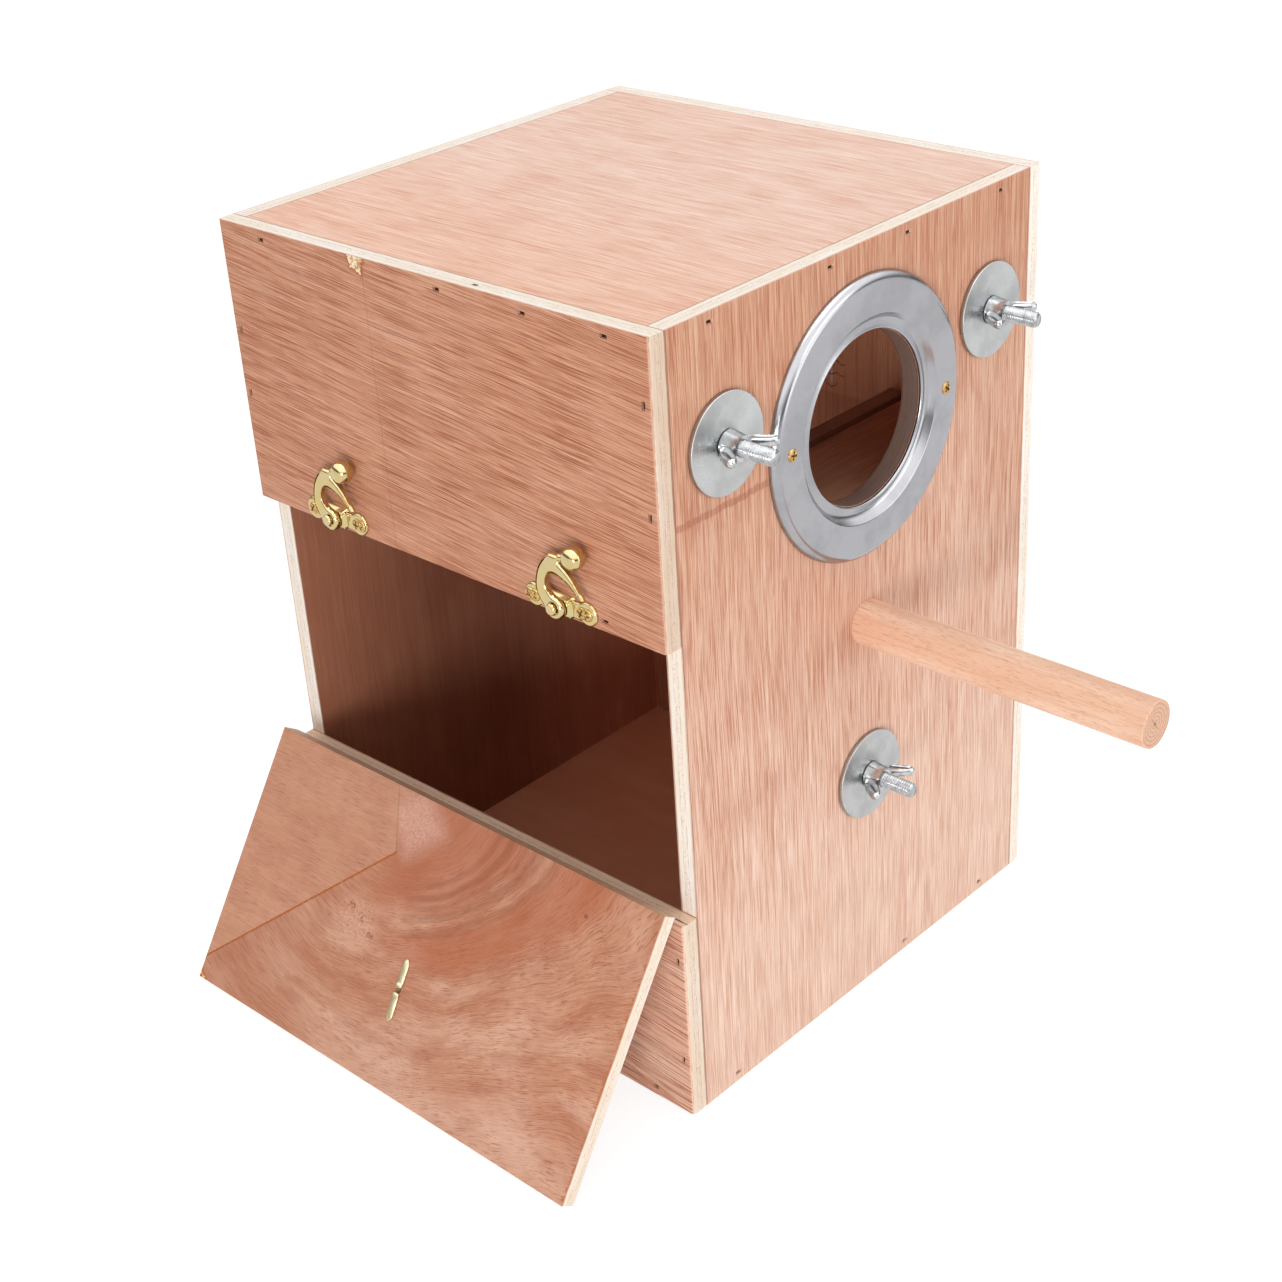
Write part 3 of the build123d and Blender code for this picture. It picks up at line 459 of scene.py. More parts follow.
def to_mesh(bm, name):
    """The mesh of a changed copy, without the normals of the shape that it was made from."""
    mesh = bpy.data.meshes.new(name)
    bm.to_mesh(mesh)
    bm.free()
    for layer in [a.name for a in mesh.attributes if a.name == "custom_normal"]:
        mesh.attributes.remove(mesh.attributes[layer])
    return mesh


def refine(node, mat, bevel=0.3, segments=2, angle=28):
    """A node's own shape again, with its arrises eased: welded, its flat faces merged, its sharp edges bevelled."""
    source = frame["nodes"][node]
    bm = bmesh.new()
    bm.from_mesh(source.data)
    bmesh.ops.remove_doubles(bm, verts=bm.verts, dist=2e-6)
    bmesh.ops.dissolve_limit(bm, angle_limit=radians(0.6), verts=bm.verts, edges=bm.edges)
    edges = [e for e in bm.edges if len(e.link_faces) == 2 and e.calc_face_angle(0) > radians(angle)]
    bmesh.ops.bevel(bm, geom=edges, offset=bevel * MM, offset_type="OFFSET", segments=segments, profile=0.5,
                    affect="EDGES", clamp_overlap=True, harden_normals=False)
    name = node + "_eased"
    return finish_piece(name, to_mesh(bm, name), mat, source["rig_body"], [node])


def gap_to(p, segments):
    """Distance from a point to the nearest of some segments, each (start, run, squared length)."""
    best = 1e9
    for a, ab, l2 in segments:
        t = max(0.0, min(1.0, ((p[0] - a[0]) * ab[0] + (p[1] - a[1]) * ab[1]) / l2))
        best = min(best, (p[0] - a[0] - ab[0] * t) ** 2 + (p[1] - a[1] - ab[1] * t) ** 2)
    return sqrt(best)


def crowned(node, mat, levels, shape=None, angle=40, grid=0.42):
    """A node's own shape again, with flat faces crowned: each level is (outward axis, height along it, how far the
    crown reaches in from the arris, how far the arris drops), in millimetres."""
    source = frame["nodes"][node]
    bm = bmesh.new()
    bm.from_mesh(source.data)
    bmesh.ops.scale(bm, vec=(1000, 1000, 1000), verts=bm.verts)
    bmesh.ops.remove_doubles(bm, verts=bm.verts, dist=0.002)
    for out, level, reach, drop in levels:
        out = Vector(out)
        a = out.orthogonal().normalized()
        b = out.cross(a)
        flat = [f for f in bm.faces
                if f.normal.dot(out) > 0.999 and abs(f.calc_center_median().dot(out) - level) < 0.02]
        border, crest = [], []
        for f in flat:
            for e in f.edges:
                others = [g for g in e.link_faces if g not in flat]
                if others:
                    border.append(e)
                    if others[0].calc_center_median().dot(out) < level - 0.01:
                        crest.append(e)
        ids, pts = {}, []
        for e in border:
            for v in e.verts:
                if v not in ids:
                    ids[v] = len(pts)
                    pts.append(Vector((v.co.dot(a), v.co.dot(b))))
        edges = [(ids[e.verts[0]], ids[e.verts[1]]) for e in border]

        def sides(group):
            found = []
            for e in group:
                p, q = pts[ids[e.verts[0]]], pts[ids[e.verts[1]]]
                found.append(((p.x, p.y), (q.x - p.x, q.y - p.y), max(1e-9, (q - p).length_squared)))
            return found

        walls, tops = sides(border), sides(crest)

        def inside(x, y):
            odd = False
            for (x0, y0), (dx, dy), l2 in walls:
                if (y0 > y) != (y0 + dy > y) and x < x0 + dx * (y - y0) / dy:
                    odd = not odd
            return odd

        x0, x1 = min(p.x for p in pts), max(p.x for p in pts)
        y0, y1 = min(p.y for p in pts), max(p.y for p in pts)
        extra, row, y = [], 0, y0
        while y < y1:
            x = x0 + (grid / 2 if row % 2 else 0)
            while x < x1:
                if inside(x, y) and gap_to((x, y), walls) > grid * 0.5:
                    extra.append(Vector((x, y)))
                x += grid
            y += grid * 0.87
            row += 1
        flat_pts, _, tris, origin, _, _ = delaunay_2d_cdt(pts + extra, edges, [], 0, 1e-5)

        def fall(p):
            d = min(1.0, gap_to(p, tops) / reach) if tops else 1.0
            return drop * (1 - sqrt(max(0.0, 1 - (1 - d) ** 2)))

        bmesh.ops.delete(bm, geom=flat, context="FACES_ONLY")
        back = {i: v for v, i in ids.items()}
        made = []
        for p, came in zip(flat_pts, origin):
            old = [i for i in came if i < len(pts)]
            if old:
                v = back[old[0]]
                v.co = a * pts[old[0]].x + b * pts[old[0]].y + out * (level - fall(pts[old[0]]))
            else:
                v = bm.verts.new(a * p.x + b * p.y + out * (level - fall(p)))
            made.append(v)
        for t in tris:
            mid = sum((flat_pts[i] for i in t), Vector((0, 0))) / 3
            if inside(mid.x, mid.y) and len({made[i] for i in t}) == 3:
                try:
                    bm.faces.new([made[i] for i in t])
                except ValueError:
                    pass
        bm.normal_update()
    if shape:
        shape(bm)
    loose = [v for v in bm.verts if not v.link_faces]
    bmesh.ops.delete(bm, geom=loose, context="VERTS")
    bmesh.ops.recalc_face_normals(bm, faces=bm.faces)
    bmesh.ops.scale(bm, vec=(MM, MM, MM), verts=bm.verts)
    name = node + "_crowned"
    return finish_piece(name, to_mesh(bm, name), mat, source["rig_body"], [node], angle, False)


def lathe(profile, seg, centre, out, closed=False):
    """Turned surface: the profile holds (radius, height along `out`) pairs in millimetres."""
    out = Vector(out)
    side = Vector((0, 0, 1)) if abs(out.z) < 0.9 else Vector((1, 0, 0))
    a = out.cross(side).normalized()
    b = out.cross(a).normalized()
    verts, faces, rings = [], [], []
    for r, h in profile:
        if r < 1e-6:
            rings.append([len(verts)])
            verts.append(Vector(centre) + out * h)
            continue
        rings.append(list(range(len(verts), len(verts) + seg)))
        for k in range(seg):
            t = 2 * pi * k / seg
            verts.append(Vector(centre) + out * h + (a * cos(t) + b * sin(t)) * r)
    pairs = list(zip(rings, rings[1:])) + ([(rings[-1], rings[0])] if closed else [])
    for p, q in pairs:
        for k in range(seg):
            l = (k + 1) % seg
            if len(p) == 1 and len(q) == 1:
                continue
            if len(p) == 1:
                faces.append((p[0], q[l], q[k]))
            elif len(q) == 1:
                faces.append((p[k], p[l], q[0]))
            else:
                faces.append((p[k], p[l], q[l], q[k]))
    return verts, faces


def arc(cx, cy, r, start, end, steps):
    turns = [radians(start + (end - start) * k / steps) for k in range(steps + 1)]
    return [(cx + r * cos(t), cy + r * sin(t)) for t in turns]


def join(*parts):
    verts, faces = [], []
    for v, f in parts:
        n = len(verts)
        verts += v
        faces += [tuple(i + n for i in q) for q in f]
    return verts, faces


# ---------------------------------------------------------------- metal

def metal_material(name, colour, rough, grime=None, scale=0.4, turned=False):
    """Metal with a slow cloud of `grime`; `turned` is brushed round its Y axis."""
    m, n, shader = material(name)
    place = n.place()
    cloud = n.noise(place, scale, 4.0, 0.6)
    fine = n.noise(place, 3.0, 3.0, 0.6)
    dark = tuple(c * 0.86 for c in colour[:3]) + (1,)
    c = n.mix(n.ramp(cloud, 0.35, 0.68), colour, grime or dark)
    n.feed(shader.inputs["Base Color"], c)
    shader.inputs["Metallic"].default_value = 1.0
    worn = n.plus(n.mul(cloud, 0.7), n.mul(fine, 0.3))
    n.feed(shader.inputs["Roughness"], n.ramp(worn, 0.3, 0.7, rough * 0.75, rough * 1.3))
    if turned:
        shader.inputs["Anisotropic"].default_value = 0.75
        n.feed(shader.inputs["Tangent"], n.add("Tangent", direction_type="RADIAL", axis="Y").outputs[0])
    else:
        n.feed(shader.inputs["Normal"], n.bump(fine, 0.000006, 0.2))
    return m


def dress(node, mat):
    """A material on a node that keeps its own mesh."""
    o = frame["nodes"][node]
    if not o.data.materials:
        o.data.materials.append(None)
    for s in o.material_slots:
        s.material = mat


camera()
studio()

TAN = (rgb(237, 205, 186), rgb(225, 178, 154), rgb(182, 110, 76))
DOORSIDE = (rgb(216, 160, 130), rgb(203, 139, 105), rgb(154, 82, 46))
LOWER = (rgb(254, 214, 188), rgb(248, 192, 161), rgb(160, 72, 42))
DOORSKIN = (rgb(206, 151, 122), rgb(189, 125, 92), rgb(138, 70, 42))
ROOF = (rgb(247, 219, 205), rgb(237, 199, 181), rgb(212, 144, 112))
# INSIDE: the inner veneer's own deeper brown, made darker still as painted shade for the inside of the box.
INSIDE = (rgb(186, 126, 97), rgb(168, 107, 80), rgb(130, 72, 48))
# BASE: paler than the veneer elsewhere inside, as painted light on the floor and shelf within.
BASE = (rgb(252, 196, 162), rgb(244, 182, 146), rgb(214, 146, 110))
# FARSIDE: a paler copy of INSIDE, as painted light on the far panel's inner face.
FARSIDE = (rgb(228, 158, 120), rgb(212, 138, 102), rgb(150, 86, 58))

# The door at rest: its angle from closed, its hinge line, and the directions up it and out of its outer face
OPEN = radians(146.057)
HINGE = Vector((-105.5, 0, 86.5))
DOOR_UP = Vector((-sin(OPEN), 0, cos(OPEN)))
DOOR_OUT = Vector((-cos(OPEN), 0, -sin(OPEN)))
DOOR_SKIN = HINGE - DOOR_OUT * 1.0


def door_parts(n, u, v):
    """Distances on the door's inner face from its left end and its hinge edge, the mask of the let-in patch, the
    distance from its glue line, and the figure that the grain swings round."""
    s_, t_ = n.plus(u, 102.5), n.plus(v, 1.8)
    across = n.minus(n.mul(n.minus(96.5, t_), 0.7308), n.mul(n.minus(s_, 1.2), 0.6826))
    seam = n.minus(n.minus(78.8, n.mul(n.minus(24.0, t_), 0.391)), s_)
    patch = n.mul(n.above(across, 0.0), n.above(seam, 0.0))
    spread = n.mul(n.math("TANH", n.math("DIVIDE", n.minus(s_, 73.0), 110.0)), 100.0)
    reach = n.plus(t_, 10.0)
    wave = n.noise(n.vec(s_, t_, 3.0), 0.022, 1.0, 0.5)
    ripple = n.noise(n.vec(s_, t_, 9.0), 0.09, 1.0, 0.5)
    hill = n.length(spread, reach)
    hill = n.jitter(hill, wave, 9.0)
    hill = n.jitter(hill, ripple, 1.6)
    return s_, t_, across, seam, patch, hill


def door_warp(n, u, v, side, layer):
    """Bends the inner face's grain round the figure, but not on the patch."""
    s_, t_, _, _, patch, hill = door_parts(n, u, v)
    swing = n.mul(side, n.minus(1.0, patch))
    bent_u = n.minus(s_, n.mul(t_, 0.8))
    u2 = n.plus(n.mul(u, n.minus(1.0, swing)), n.mul(bent_u, swing))
    v2 = n.plus(n.mul(v, n.minus(1.0, swing)), n.mul(hill, swing))
    return u2, v2, n.plus(layer, n.mul(n.mul(patch, side), 7.7))


# Dark arcs of the figure on the door: radius, half width and strength
ARCS = ((50.0, 0.4, 0.40), (45.5, 0.3, 0.30), (53.6, 0.2, 0.24), (57.5, 0.9, 0.30), (63.5, 0.8, 0.26))


def door_marks(n, u, v, side, colour, height):
    """The inner face's figure with its arcs and pale places (one of them a painted sheen), flecks, small dark knots,
    the patch, the torn edges.
    """
    s_, t_, across, seam, patch, hill = door_parts(n, u, v)
    free = n.mul(side, n.minus(1.0, patch))
    lie = n.minus(s_, n.mul(t_, 0.8))
    blot = n.noise(n.vec(n.mul(lie, 0.022), n.mul(hill, 0.075), 31.0), 1.0, 3.0, 0.55)
    sheen = n.noise(n.vec(n.mul(s_, 0.05), n.mul(hill, 0.12), 2.0), 1.0, 2.0, 0.5)
    c = n.mix(n.mul(free, n.ramp(blot, 0.44, 0.66), 0.48), colour, rgb(226, 182, 157))
    c = n.mix(n.mul(free, n.ramp(sheen, 0.44, 0.72), 0.5), c, rgb(168, 98, 70))
    fibre = n.noise(n.vec(n.mul(n.minus(s_, t_), 0.16), n.mul(hill, 1.5), 6.0), 1.0, 3.0, 0.65)
    c = n.mix(n.mul(free, n.ramp(fibre, 0.53, 0.66), 0.22), c, rgb(160, 92, 62))
    c = n.mix(n.mul(free, n.ramp(fibre, 0.44, 0.34), 0.2), c, rgb(232, 188, 160))
    low = n.mul(free, n.ramp(n.jitter(t_, blot, 60.0), 66.0, 106.0), n.ramp(s_, 40.0, 90.0))
    c = n.mix(n.mul(low, 0.45), c, rgb(226, 184, 162))
    c = n.mix(n.mul(free, n.ramp(s_, 80.0, 20.0), 0.38), c, rgb(176, 112, 84))
    bend_u = n.plus(n.mul(n.minus(s_, n.mul(t_, 0.8)), free), n.mul(s_, patch))
    bend_v = n.plus(n.mul(hill, free), n.mul(n.plus(t_, n.mul(s_, 0.06)), patch))
    short = n.noise(n.vec(n.mul(bend_u, 0.15), n.mul(bend_v, 3.3), 61.0), 1.0, 2.0, 0.6)
    crowd = n.noise(n.vec(s_, t_, 71.0), 0.07, 2.0, 0.6)
    flecks = n.mul(side, n.ramp(short, 0.545, 0.61), n.plus(n.ramp(crowd, 0.36, 0.60, 0.28, 0.66), n.mul(patch, 0.28)))
    c = n.mix(flecks, c, rgb(158, 88, 58))
    red = n.mul(free, n.near(hill, 70.0, 2.5, 8.0), n.ramp(s_, 78.0, 112.0))
    c = n.mix(n.mul(red, 0.62), c, rgb(176, 92, 54))
    core = n.mul(free, n.ramp(hill, 62.0, 48.0), n.ramp(s_, 62.0, 84.0))
    c = n.mix(n.mul(core, 0.60), c, rgb(176, 98, 66))
    for radius, width, power in ARCS:
        ring = n.mul(free, n.near(hill, radius, width, 1.6), n.ramp(s_, 88.0, 104.0), power)
        c = n.mix(ring, c, rgb(132, 66, 42))
    # Painted sheen: a pale pinkish place near the hinge edge, right of the patch.
    apart = n.plus(n.mul(n.size(n.minus(s_, 84.0)), 0.9), n.size(n.minus(t_, 10.0)))
    pale_sheen = n.mul(free, n.ramp(apart, 22.0, 6.0))
    shimmer = n.noise(n.vec(n.plus(s_, t_), n.mul(n.minus(s_, t_), 0.6), 5.0), 0.8, 3.0, 0.6)
    c = n.mix(n.mul(pale_sheen, n.ramp(shimmer, 0.36, 0.60, 0.40, 0.75)), c, rgb(224, 176, 158))
    for x, y, r in ((66.5, 49.5, 1.6), (73.5, 53.0, 1.1), (80.0, 57.0, 1.5), (173.5, 12.5, 0.7)):
        gap = n.length(n.minus(s_, x), n.minus(t_, y), 2.2)
        gap = n.jitter(gap, shimmer, 3.0)
        c = n.mix(n.mul(side, n.ramp(gap, r + 0.9, r - 0.5), 0.75), c, rgb(140, 62, 44))
    halo = n.length(n.minus(s_, 71.0), n.minus(t_, 55.0), 1.6)
    c = n.mix(n.mul(free, n.ramp(halo, 17.0, 5.0), n.ramp(shimmer, 0.40, 0.60, 0.1, 0.65)), c, rgb(222, 174, 150))
    # let-in patch: a little yellower, joined on an orange line of glue
    c = n.mix(n.mul(side, patch, 0.38), c, n.mix(n.ramp(crowd, 0.40, 0.62), rgb(214, 162, 132), rgb(204, 148, 124)))
    rough = n.noise(n.vec(s_, t_, 41.0), 0.8, 2.0, 0.6)
    line = n.size(n.jitter(across, rough, 0.7))
    glue = n.mul(side, n.ramp(line, 0.55, 0.22), n.below(s_, 79.2), n.ramp(rough, 0.30, 0.44, 0.35, 1.0))
    c = n.mix(glue, c, rgb(176, 92, 34))
    join_ = n.mul(side, n.ramp(n.size(seam), 0.35, 0.1), n.below(t_, 24.0), 0.45)
    c = n.mix(join_, c, rgb(150, 96, 72))
    # broken corner and edge
    corner = n.jitter(n.plus(n.mul(s_, 0.8), n.minus(106.5, t_)), rough, 5.0)
    c = n.mix(n.mul(side, n.ramp(corner, 4.6, 3.4)), c, rgb(186, 104, 46))
    c = n.mix(n.mul(side, n.near(corner, 2.2, 0.3, 0.3)), c, rgb(238, 196, 140))
    ragged = n.noise(n.vec(n.mul(s_, 0.4), n.mul(t_, 1.1), 4.0), 1.0, 2.0, 0.6)
    torn = n.minus(205.0, n.plus(s_, n.mul(n.size(n.minus(ragged, 0.5)), 9.0)))
    gaps = n.noise(n.vec(t_, 3.0, 8.0), 0.35, 2.0, 0.6)
    c = n.mix(n.mul(side, n.ramp(torn, 0.6, 0.2), n.ramp(gaps, 0.46, 0.56, 0.1, 0.8)), c, rgb(184, 104, 50))
    height = n.minus(height, n.mul(n.larger(glue, join_), 1.5))
    return c, height


def entrance_marks(n, u, v, side, colour, height):
    """Deeper colour towards the top as painted shade, paler towards the bottom as painted light, a water line left of
    the ring, a dark joint along the side boards.
    """
    x = n.mul(v, -1.0)
    outer = n.minus(1.0, side)
    slow = n.noise(n.vec(n.mul(u, 0.5), x, 77.0), 0.012, 2.0, 0.5)
    # Painted shade deepening and darkening the colour towards the top, and painted light paling it towards the bottom.
    up = n.ramp(n.jitter(u, slow, 140.0), 70.0, 300.0)
    c = n.tint(n.mul(up, outer), colour, 0.80, 0.65, 0.54)
    c = n.mix(n.mul(outer, n.ramp(u, 130.0, 30.0), 0.22), c, rgb(250, 232, 214))
    edge = n.noise(n.vec(n.mul(u, 0.3), x, 5.0), 0.25, 3.0, 0.6)
    high = n.jitter(u, edge, 3.0)
    grain = n.noise(n.vec(n.mul(u, 0.03), n.mul(x, 1.3), 15.0), 1.0, 2.0, 0.6)
    stain = n.mul(outer, n.near(high, 233.0, 0.8, 0.9), n.ramp(x, -47.0, -54.0), n.ramp(grain, 0.36, 0.56, 0.35, 1.0))
    c = n.mix(n.mul(stain, 0.70), c, rgb(164, 98, 76))
    joint = n.mul(outer, n.near(n.size(x), 96.6, 0.15, 0.25), 0.6)
    c = n.mix(joint, c, rgb(110, 66, 48))
    return c, height


def upper_marks(n, u, v, side, colour, height):
    """Chipped veneer at the top arris, one faint seam."""
    outer = n.minus(1.0, side)
    ragged = n.noise(n.vec(u, v, 3.0), 0.55, 3.0, 0.65)
    below, aside = n.minus(HIGH, v), n.minus(u, -29.5)
    wide = n.minus(3.9, n.mul(below, 0.30))
    gap = n.jitter(n.size(aside), ragged, 3.5)
    slant = n.plus(n.jitter(below, ragged, 4.0), n.mul(aside, -0.35))
    chip = n.mul(outer, n.ramp(n.minus(gap, wide), 0.25, -0.25), n.ramp(slant, 5.2, 4.6))
    rim = n.mul(outer, n.ramp(n.minus(gap, wide), 1.8, 0.3), n.ramp(slant, 7.0, 5.2))
    c = n.mix(n.mul(rim, 0.85), colour, rgb(178, 100, 48))
    c = n.mix(chip, c, n.mix(n.ramp(ragged, 0.46, 0.60), rgb(250, 232, 200), rgb(206, 150, 98)))
    seam = n.mul(outer, n.near(u, -26.5, 0.1, 0.3), 0.28)
    c = n.mix(seam, c, rgb(150, 92, 66))
    return c, n.minus(height, n.mul(chip, 2.5))


def roof_marks(n, u, v, side, colour, height):
    """Warmer towards the door's side, one long faint line."""
    x = n.mul(v, -1.0)
    outer = n.minus(1.0, side)
    c = n.tint(n.mul(n.ramp(x, 30.0, -96.0), outer), colour, 1.0, 0.90, 0.82)
    line = n.mul(outer, n.near(n.plus(x, n.mul(u, 0.02)), -63.0, 0.15, 0.4), 0.4)
    return n.mix(line, c, rgb(186, 120, 92)), height


def opposite_marks(n, u, v, side, colour, height):
    """Inner face, a little deeper in colour near the middle as painted shade and paler towards the far corner as
    painted light.
    """
    # Painted shade over the middle, painted light towards the far corner.
    c = n.tint(n.mul(side, n.ramp(v, -85.0, -20.0)), colour, 0.68, 0.64, 0.64)
    return n.mix(n.mul(side, n.ramp(v, -5.0, 75.0)), c, n.times(colour, 1.40, 1.56, 1.70)), height


def far_marks(n, u, v, side, colour, height):
    """Inner face paler above the shelf as painted light and darker below it as painted shade; a splinter and small
    cracks, seen through the entrance.
    """
    # Painted light above the shelf, painted shade below it.
    colour = n.tint(n.mul(side, n.ramp(u, 192.0, 194.0)), colour, 1.12, 1.14, 1.14)
    colour = n.tint(n.mul(side, n.ramp(u, 194.0, 192.0)), colour, 0.90, 0.86, 0.84)
    shake = n.noise(n.vec(n.mul(u, 0.35), v, 8.0), 0.35, 2.0, 0.6)
    x = n.jitter(v, shake, 1.2)
    splinter = n.mul(side, n.near(x, 13.0, 0.35, 0.25), n.ramp(u, 196.0, 198.5), n.ramp(u, 214.0, 211.0))
    c = n.mix(splinter, colour, rgb(236, 214, 190))
    y = n.jitter(u, shake, 5.0)
    for place, low, high in ((201.0, 9.0, 19.0), (206.5, 12.0, 20.0), (196.5, 10.5, 16.0)):
        crack = n.mul(side, n.near(y, place, 0.10, 0.22), n.above(v, low), n.below(v, high), 0.85)
        c = n.mix(crack, c, rgb(52, 24, 18))
    return c, height


WOOD = {
    "entrance_panel": dict(
        origin=(0, -FACE, 0), along=UP, out=FRONT, seed=1.0, tones=TAN, strength=0.85, mottle=0.35,
        marks=entrance_marks, hole=ENTRANCE_Z),
    "opposite_panel": dict(
        origin=(0, FACE, 0), along=UP, out=BACK, seed=2.0, tones=TAN, strength=0.8, quiet=0.75, faint=0.6,
        marks=opposite_marks),
    "far_side_panel": dict(
        origin=(FACE, 0, 0), along=UP, out=FAR, seed=3.0, tones=TAN, inner=FARSIDE, strength=0.8, marks=far_marks),
    "upper_door_side_panel": dict(
        origin=(-FACE, 0, 0), along=FRONT, out=NEAR, seed=4.0, tones=DOORSIDE, strength=0.96, tilt=-5.5,
        mottle=0.45, silk=0.62, marks=upper_marks, edges="upper"),
    "lower_door_side_panel": dict(
        origin=(-FACE, 0, 0), along=FRONT, out=NEAR, seed=5.0, tones=LOWER, strength=1.0, tilt=-4.0,
        mottle=0.55, silk=0.5, edges="lower"),
    "roof_panel": dict(
        origin=(0, 0, HIGH), along=BACK, out=UP, seed=6.0, tones=ROOF, strength=0.72, silk=0.75, marks=roof_marks),
    "floor_panel": dict(
        origin=(0, 0, 0), along=BACK, out=DOWN, seed=7.0, tones=TAN, inner=BASE, thick=5.2, strength=0.6,
        mottle=0.8, quiet=0.75, faint=0.6),
    "landing_shelf": dict(
        origin=(0, 0, 199.1), along=FAR, out=UP, seed=8.0, tones=BASE, inner=BASE, strength=0.7, mottle=0.8),
    "shelf_lip": dict(
        origin=(0, -49.4, 0), along=FAR, out=BACK, seed=9.0, tones=INSIDE, strength=0.8, mottle=0.8),
    "door_flap": dict(
        origin=DOOR_SKIN, along=FRONT, out=DOOR_OUT, seed=10.0, tones=DOORSIDE, inner=DOORSKIN, strength=0.95,
        mottle=0.35, silk=0.62, quiet=0.52, faint=0.6, marks=door_marks, warp=door_warp, edges="door"),
}
for node, look in WOOD.items():
    refine(node, board_material(node, **look), bevel=0.3)


def perch_material():
    m, n, shader = material("dowel")
    along, x, z = local(n, (0, -FACE, PERCH_Z), FRONT, FAR, UP)

    def field(a, b, shift, detail=2.0, rough=0.5):
        return n.noise(n.vec(n.mul(along, a), n.plus(n.mul(x, b), shift), n.mul(z, b)), 1.0, detail, rough)

    tone = field(0.02, 0.09, 0.0)
    strand = field(0.03, 0.9, 7.0, 3.0, 0.6)
    fleck = field(0.30, 2.6, 3.0, 1.0)
    c = n.mix(n.ramp(tone, 0.36, 0.62), rgb(243, 207, 183), rgb(234, 189, 161))
    c = n.mix(n.mul(n.ramp(strand, 0.50, 0.66), 0.5), c, rgb(222, 166, 130))
    c = n.mix(n.mul(n.ramp(fleck, 0.57, 0.66), 0.45), c, rgb(202, 142, 108))
    off = n.length(n.plus(x, 1.2), n.minus(z, 0.8))
    year = n.math("SINE", n.plus(n.mul(off, 4.2), n.mul(tone, 5.0)))
    grit = n.noise(n.vec(x, 0.0, z), 1.6, 3.0, 0.65)
    end = n.mix(n.ramp(year, -0.2, 0.9), rgb(222, 182, 156), rgb(204, 158, 128))
    end = n.mix(n.mul(n.ramp(grit, 0.48, 0.66), 0.6), end, rgb(178, 128, 98))
    end = n.mix(n.ramp(off, 0.9, 0.3), end, rgb(128, 78, 54))
    crack = n.size(n.plus(n.mul(x, 0.8), n.minus(n.mul(z, 0.6), -0.5)))
    end = n.mix(n.mul(n.ramp(crack, 0.22, 0.08), n.mul(n.ramp(off, 4.2, 2.8), 0.7)), end, rgb(150, 98, 70))
    normal = n.add("TexCoord").outputs["Normal"]
    mask = n.ramp(n.size(n.dot(normal, BACK)), 0.75, 0.92)
    n.feed(shader.inputs["Base Color"], n.mix(mask, c, end))
    height = n.minus(n.mul(strand, 0.5), n.mul(n.mix(mask, fleck, grit), 0.6))
    n.feed(shader.inputs["Normal"], n.bump(height, 0.00008, 0.6))
    n.feed(shader.inputs["Roughness"], n.ramp(height, -0.4, 0.3, 0.62, 0.50, smooth=False))
    shader.inputs["Specular IOR Level"].default_value = 0.3
    return m


# Perch: a dowel that is not quite even, with an eased end
dowel = [(0.0, -3.0), (8.3, -3.0)] + [(8.5 - 0.05 * (1 - cos(k * 0.9)) * 0.5, -2.8 + k * 4.0) for k in range(30)]
dowel = [(r, h) for r, h in dowel if h < 117.2] + [(8.5, 117.3)] + arc(7.9, 117.4, 0.6, 0, 90, 5)
dowel += [(7.0, 118.0), (4.0, 117.98), (0.0, 118.0)]
piece("perch_dowel", *lathe(dowel, 72, (0, -FACE, PERCH_Z), FRONT), perch_material(), "box", ["perch"], "perch_wood",
      angle=50, weighted=False)

STEEL = metal_material("ring_steel", (0.40, 0.40, 0.42, 1), 0.22, grime=(0.34, 0.34, 0.36, 1), scale=0.07)
ZINC = metal_material("washer_zinc", (0.49, 0.50, 0.50, 1), 0.30, scale=0.12, turned=True)
BRIGHT = metal_material("bright_zinc", (0.57, 0.58, 0.59, 1), 0.15, grime=(0.36, 0.37, 0.38, 1), scale=0.3)
BRASS = metal_material("brass", (0.62, 0.505, 0.28, 1), 0.09, grime=(0.62, 0.48, 0.20, 1), scale=0.25)
LEAF = metal_material("brass_leaf", (0.74, 0.62, 0.32, 1), 0.20, grime=(0.69, 0.56, 0.28, 1), scale=0.5)
HEAD = metal_material("brass_head", (0.62, 0.43, 0.17, 1), 0.22, grime=(0.54, 0.35, 0.13, 1), scale=0.5)
SCREW = metal_material("screw_brass", (0.62, 0.38, 0.15, 1), 0.26, grime=(0.46, 0.26, 0.10, 1), scale=0.5)
BOLT = metal_material("bolt_zinc", (0.50, 0.51, 0.52, 1), 0.25, grime=(0.34, 0.35, 0.36, 1), scale=0.4)
SPLIT = metal_material("dull_brass", (0.62, 0.55, 0.36, 1), 0.34, grime=(0.50, 0.42, 0.25, 1), scale=0.5)
# Painted shade: near-black and dark amber for the screws' cross recesses.
DARK = metal_material("recess", (0.10, 0.07, 0.03, 1), 0.6, scale=0.5)
AMBER = metal_material("recess_gold", (0.42, 0.24, 0.08, 1), 0.45, scale=0.5)


def brad_material():
    m, n, shader = material("brad_steel")
    rust = n.noise(n.place(), 1.4, 3.0, 0.6)
    n.feed(shader.inputs["Base Color"], n.mix(n.ramp(rust, 0.42, 0.60), rgb(46, 22, 16), rgb(84, 46, 30)))
    shader.inputs["Metallic"].default_value = 0.0
    n.feed(shader.inputs["Roughness"], n.ramp(rust, 0.3, 0.7, 0.7, 0.9))
    shader.inputs["Specular IOR Level"].default_value = 0.1
    return m


BRAD = brad_material()


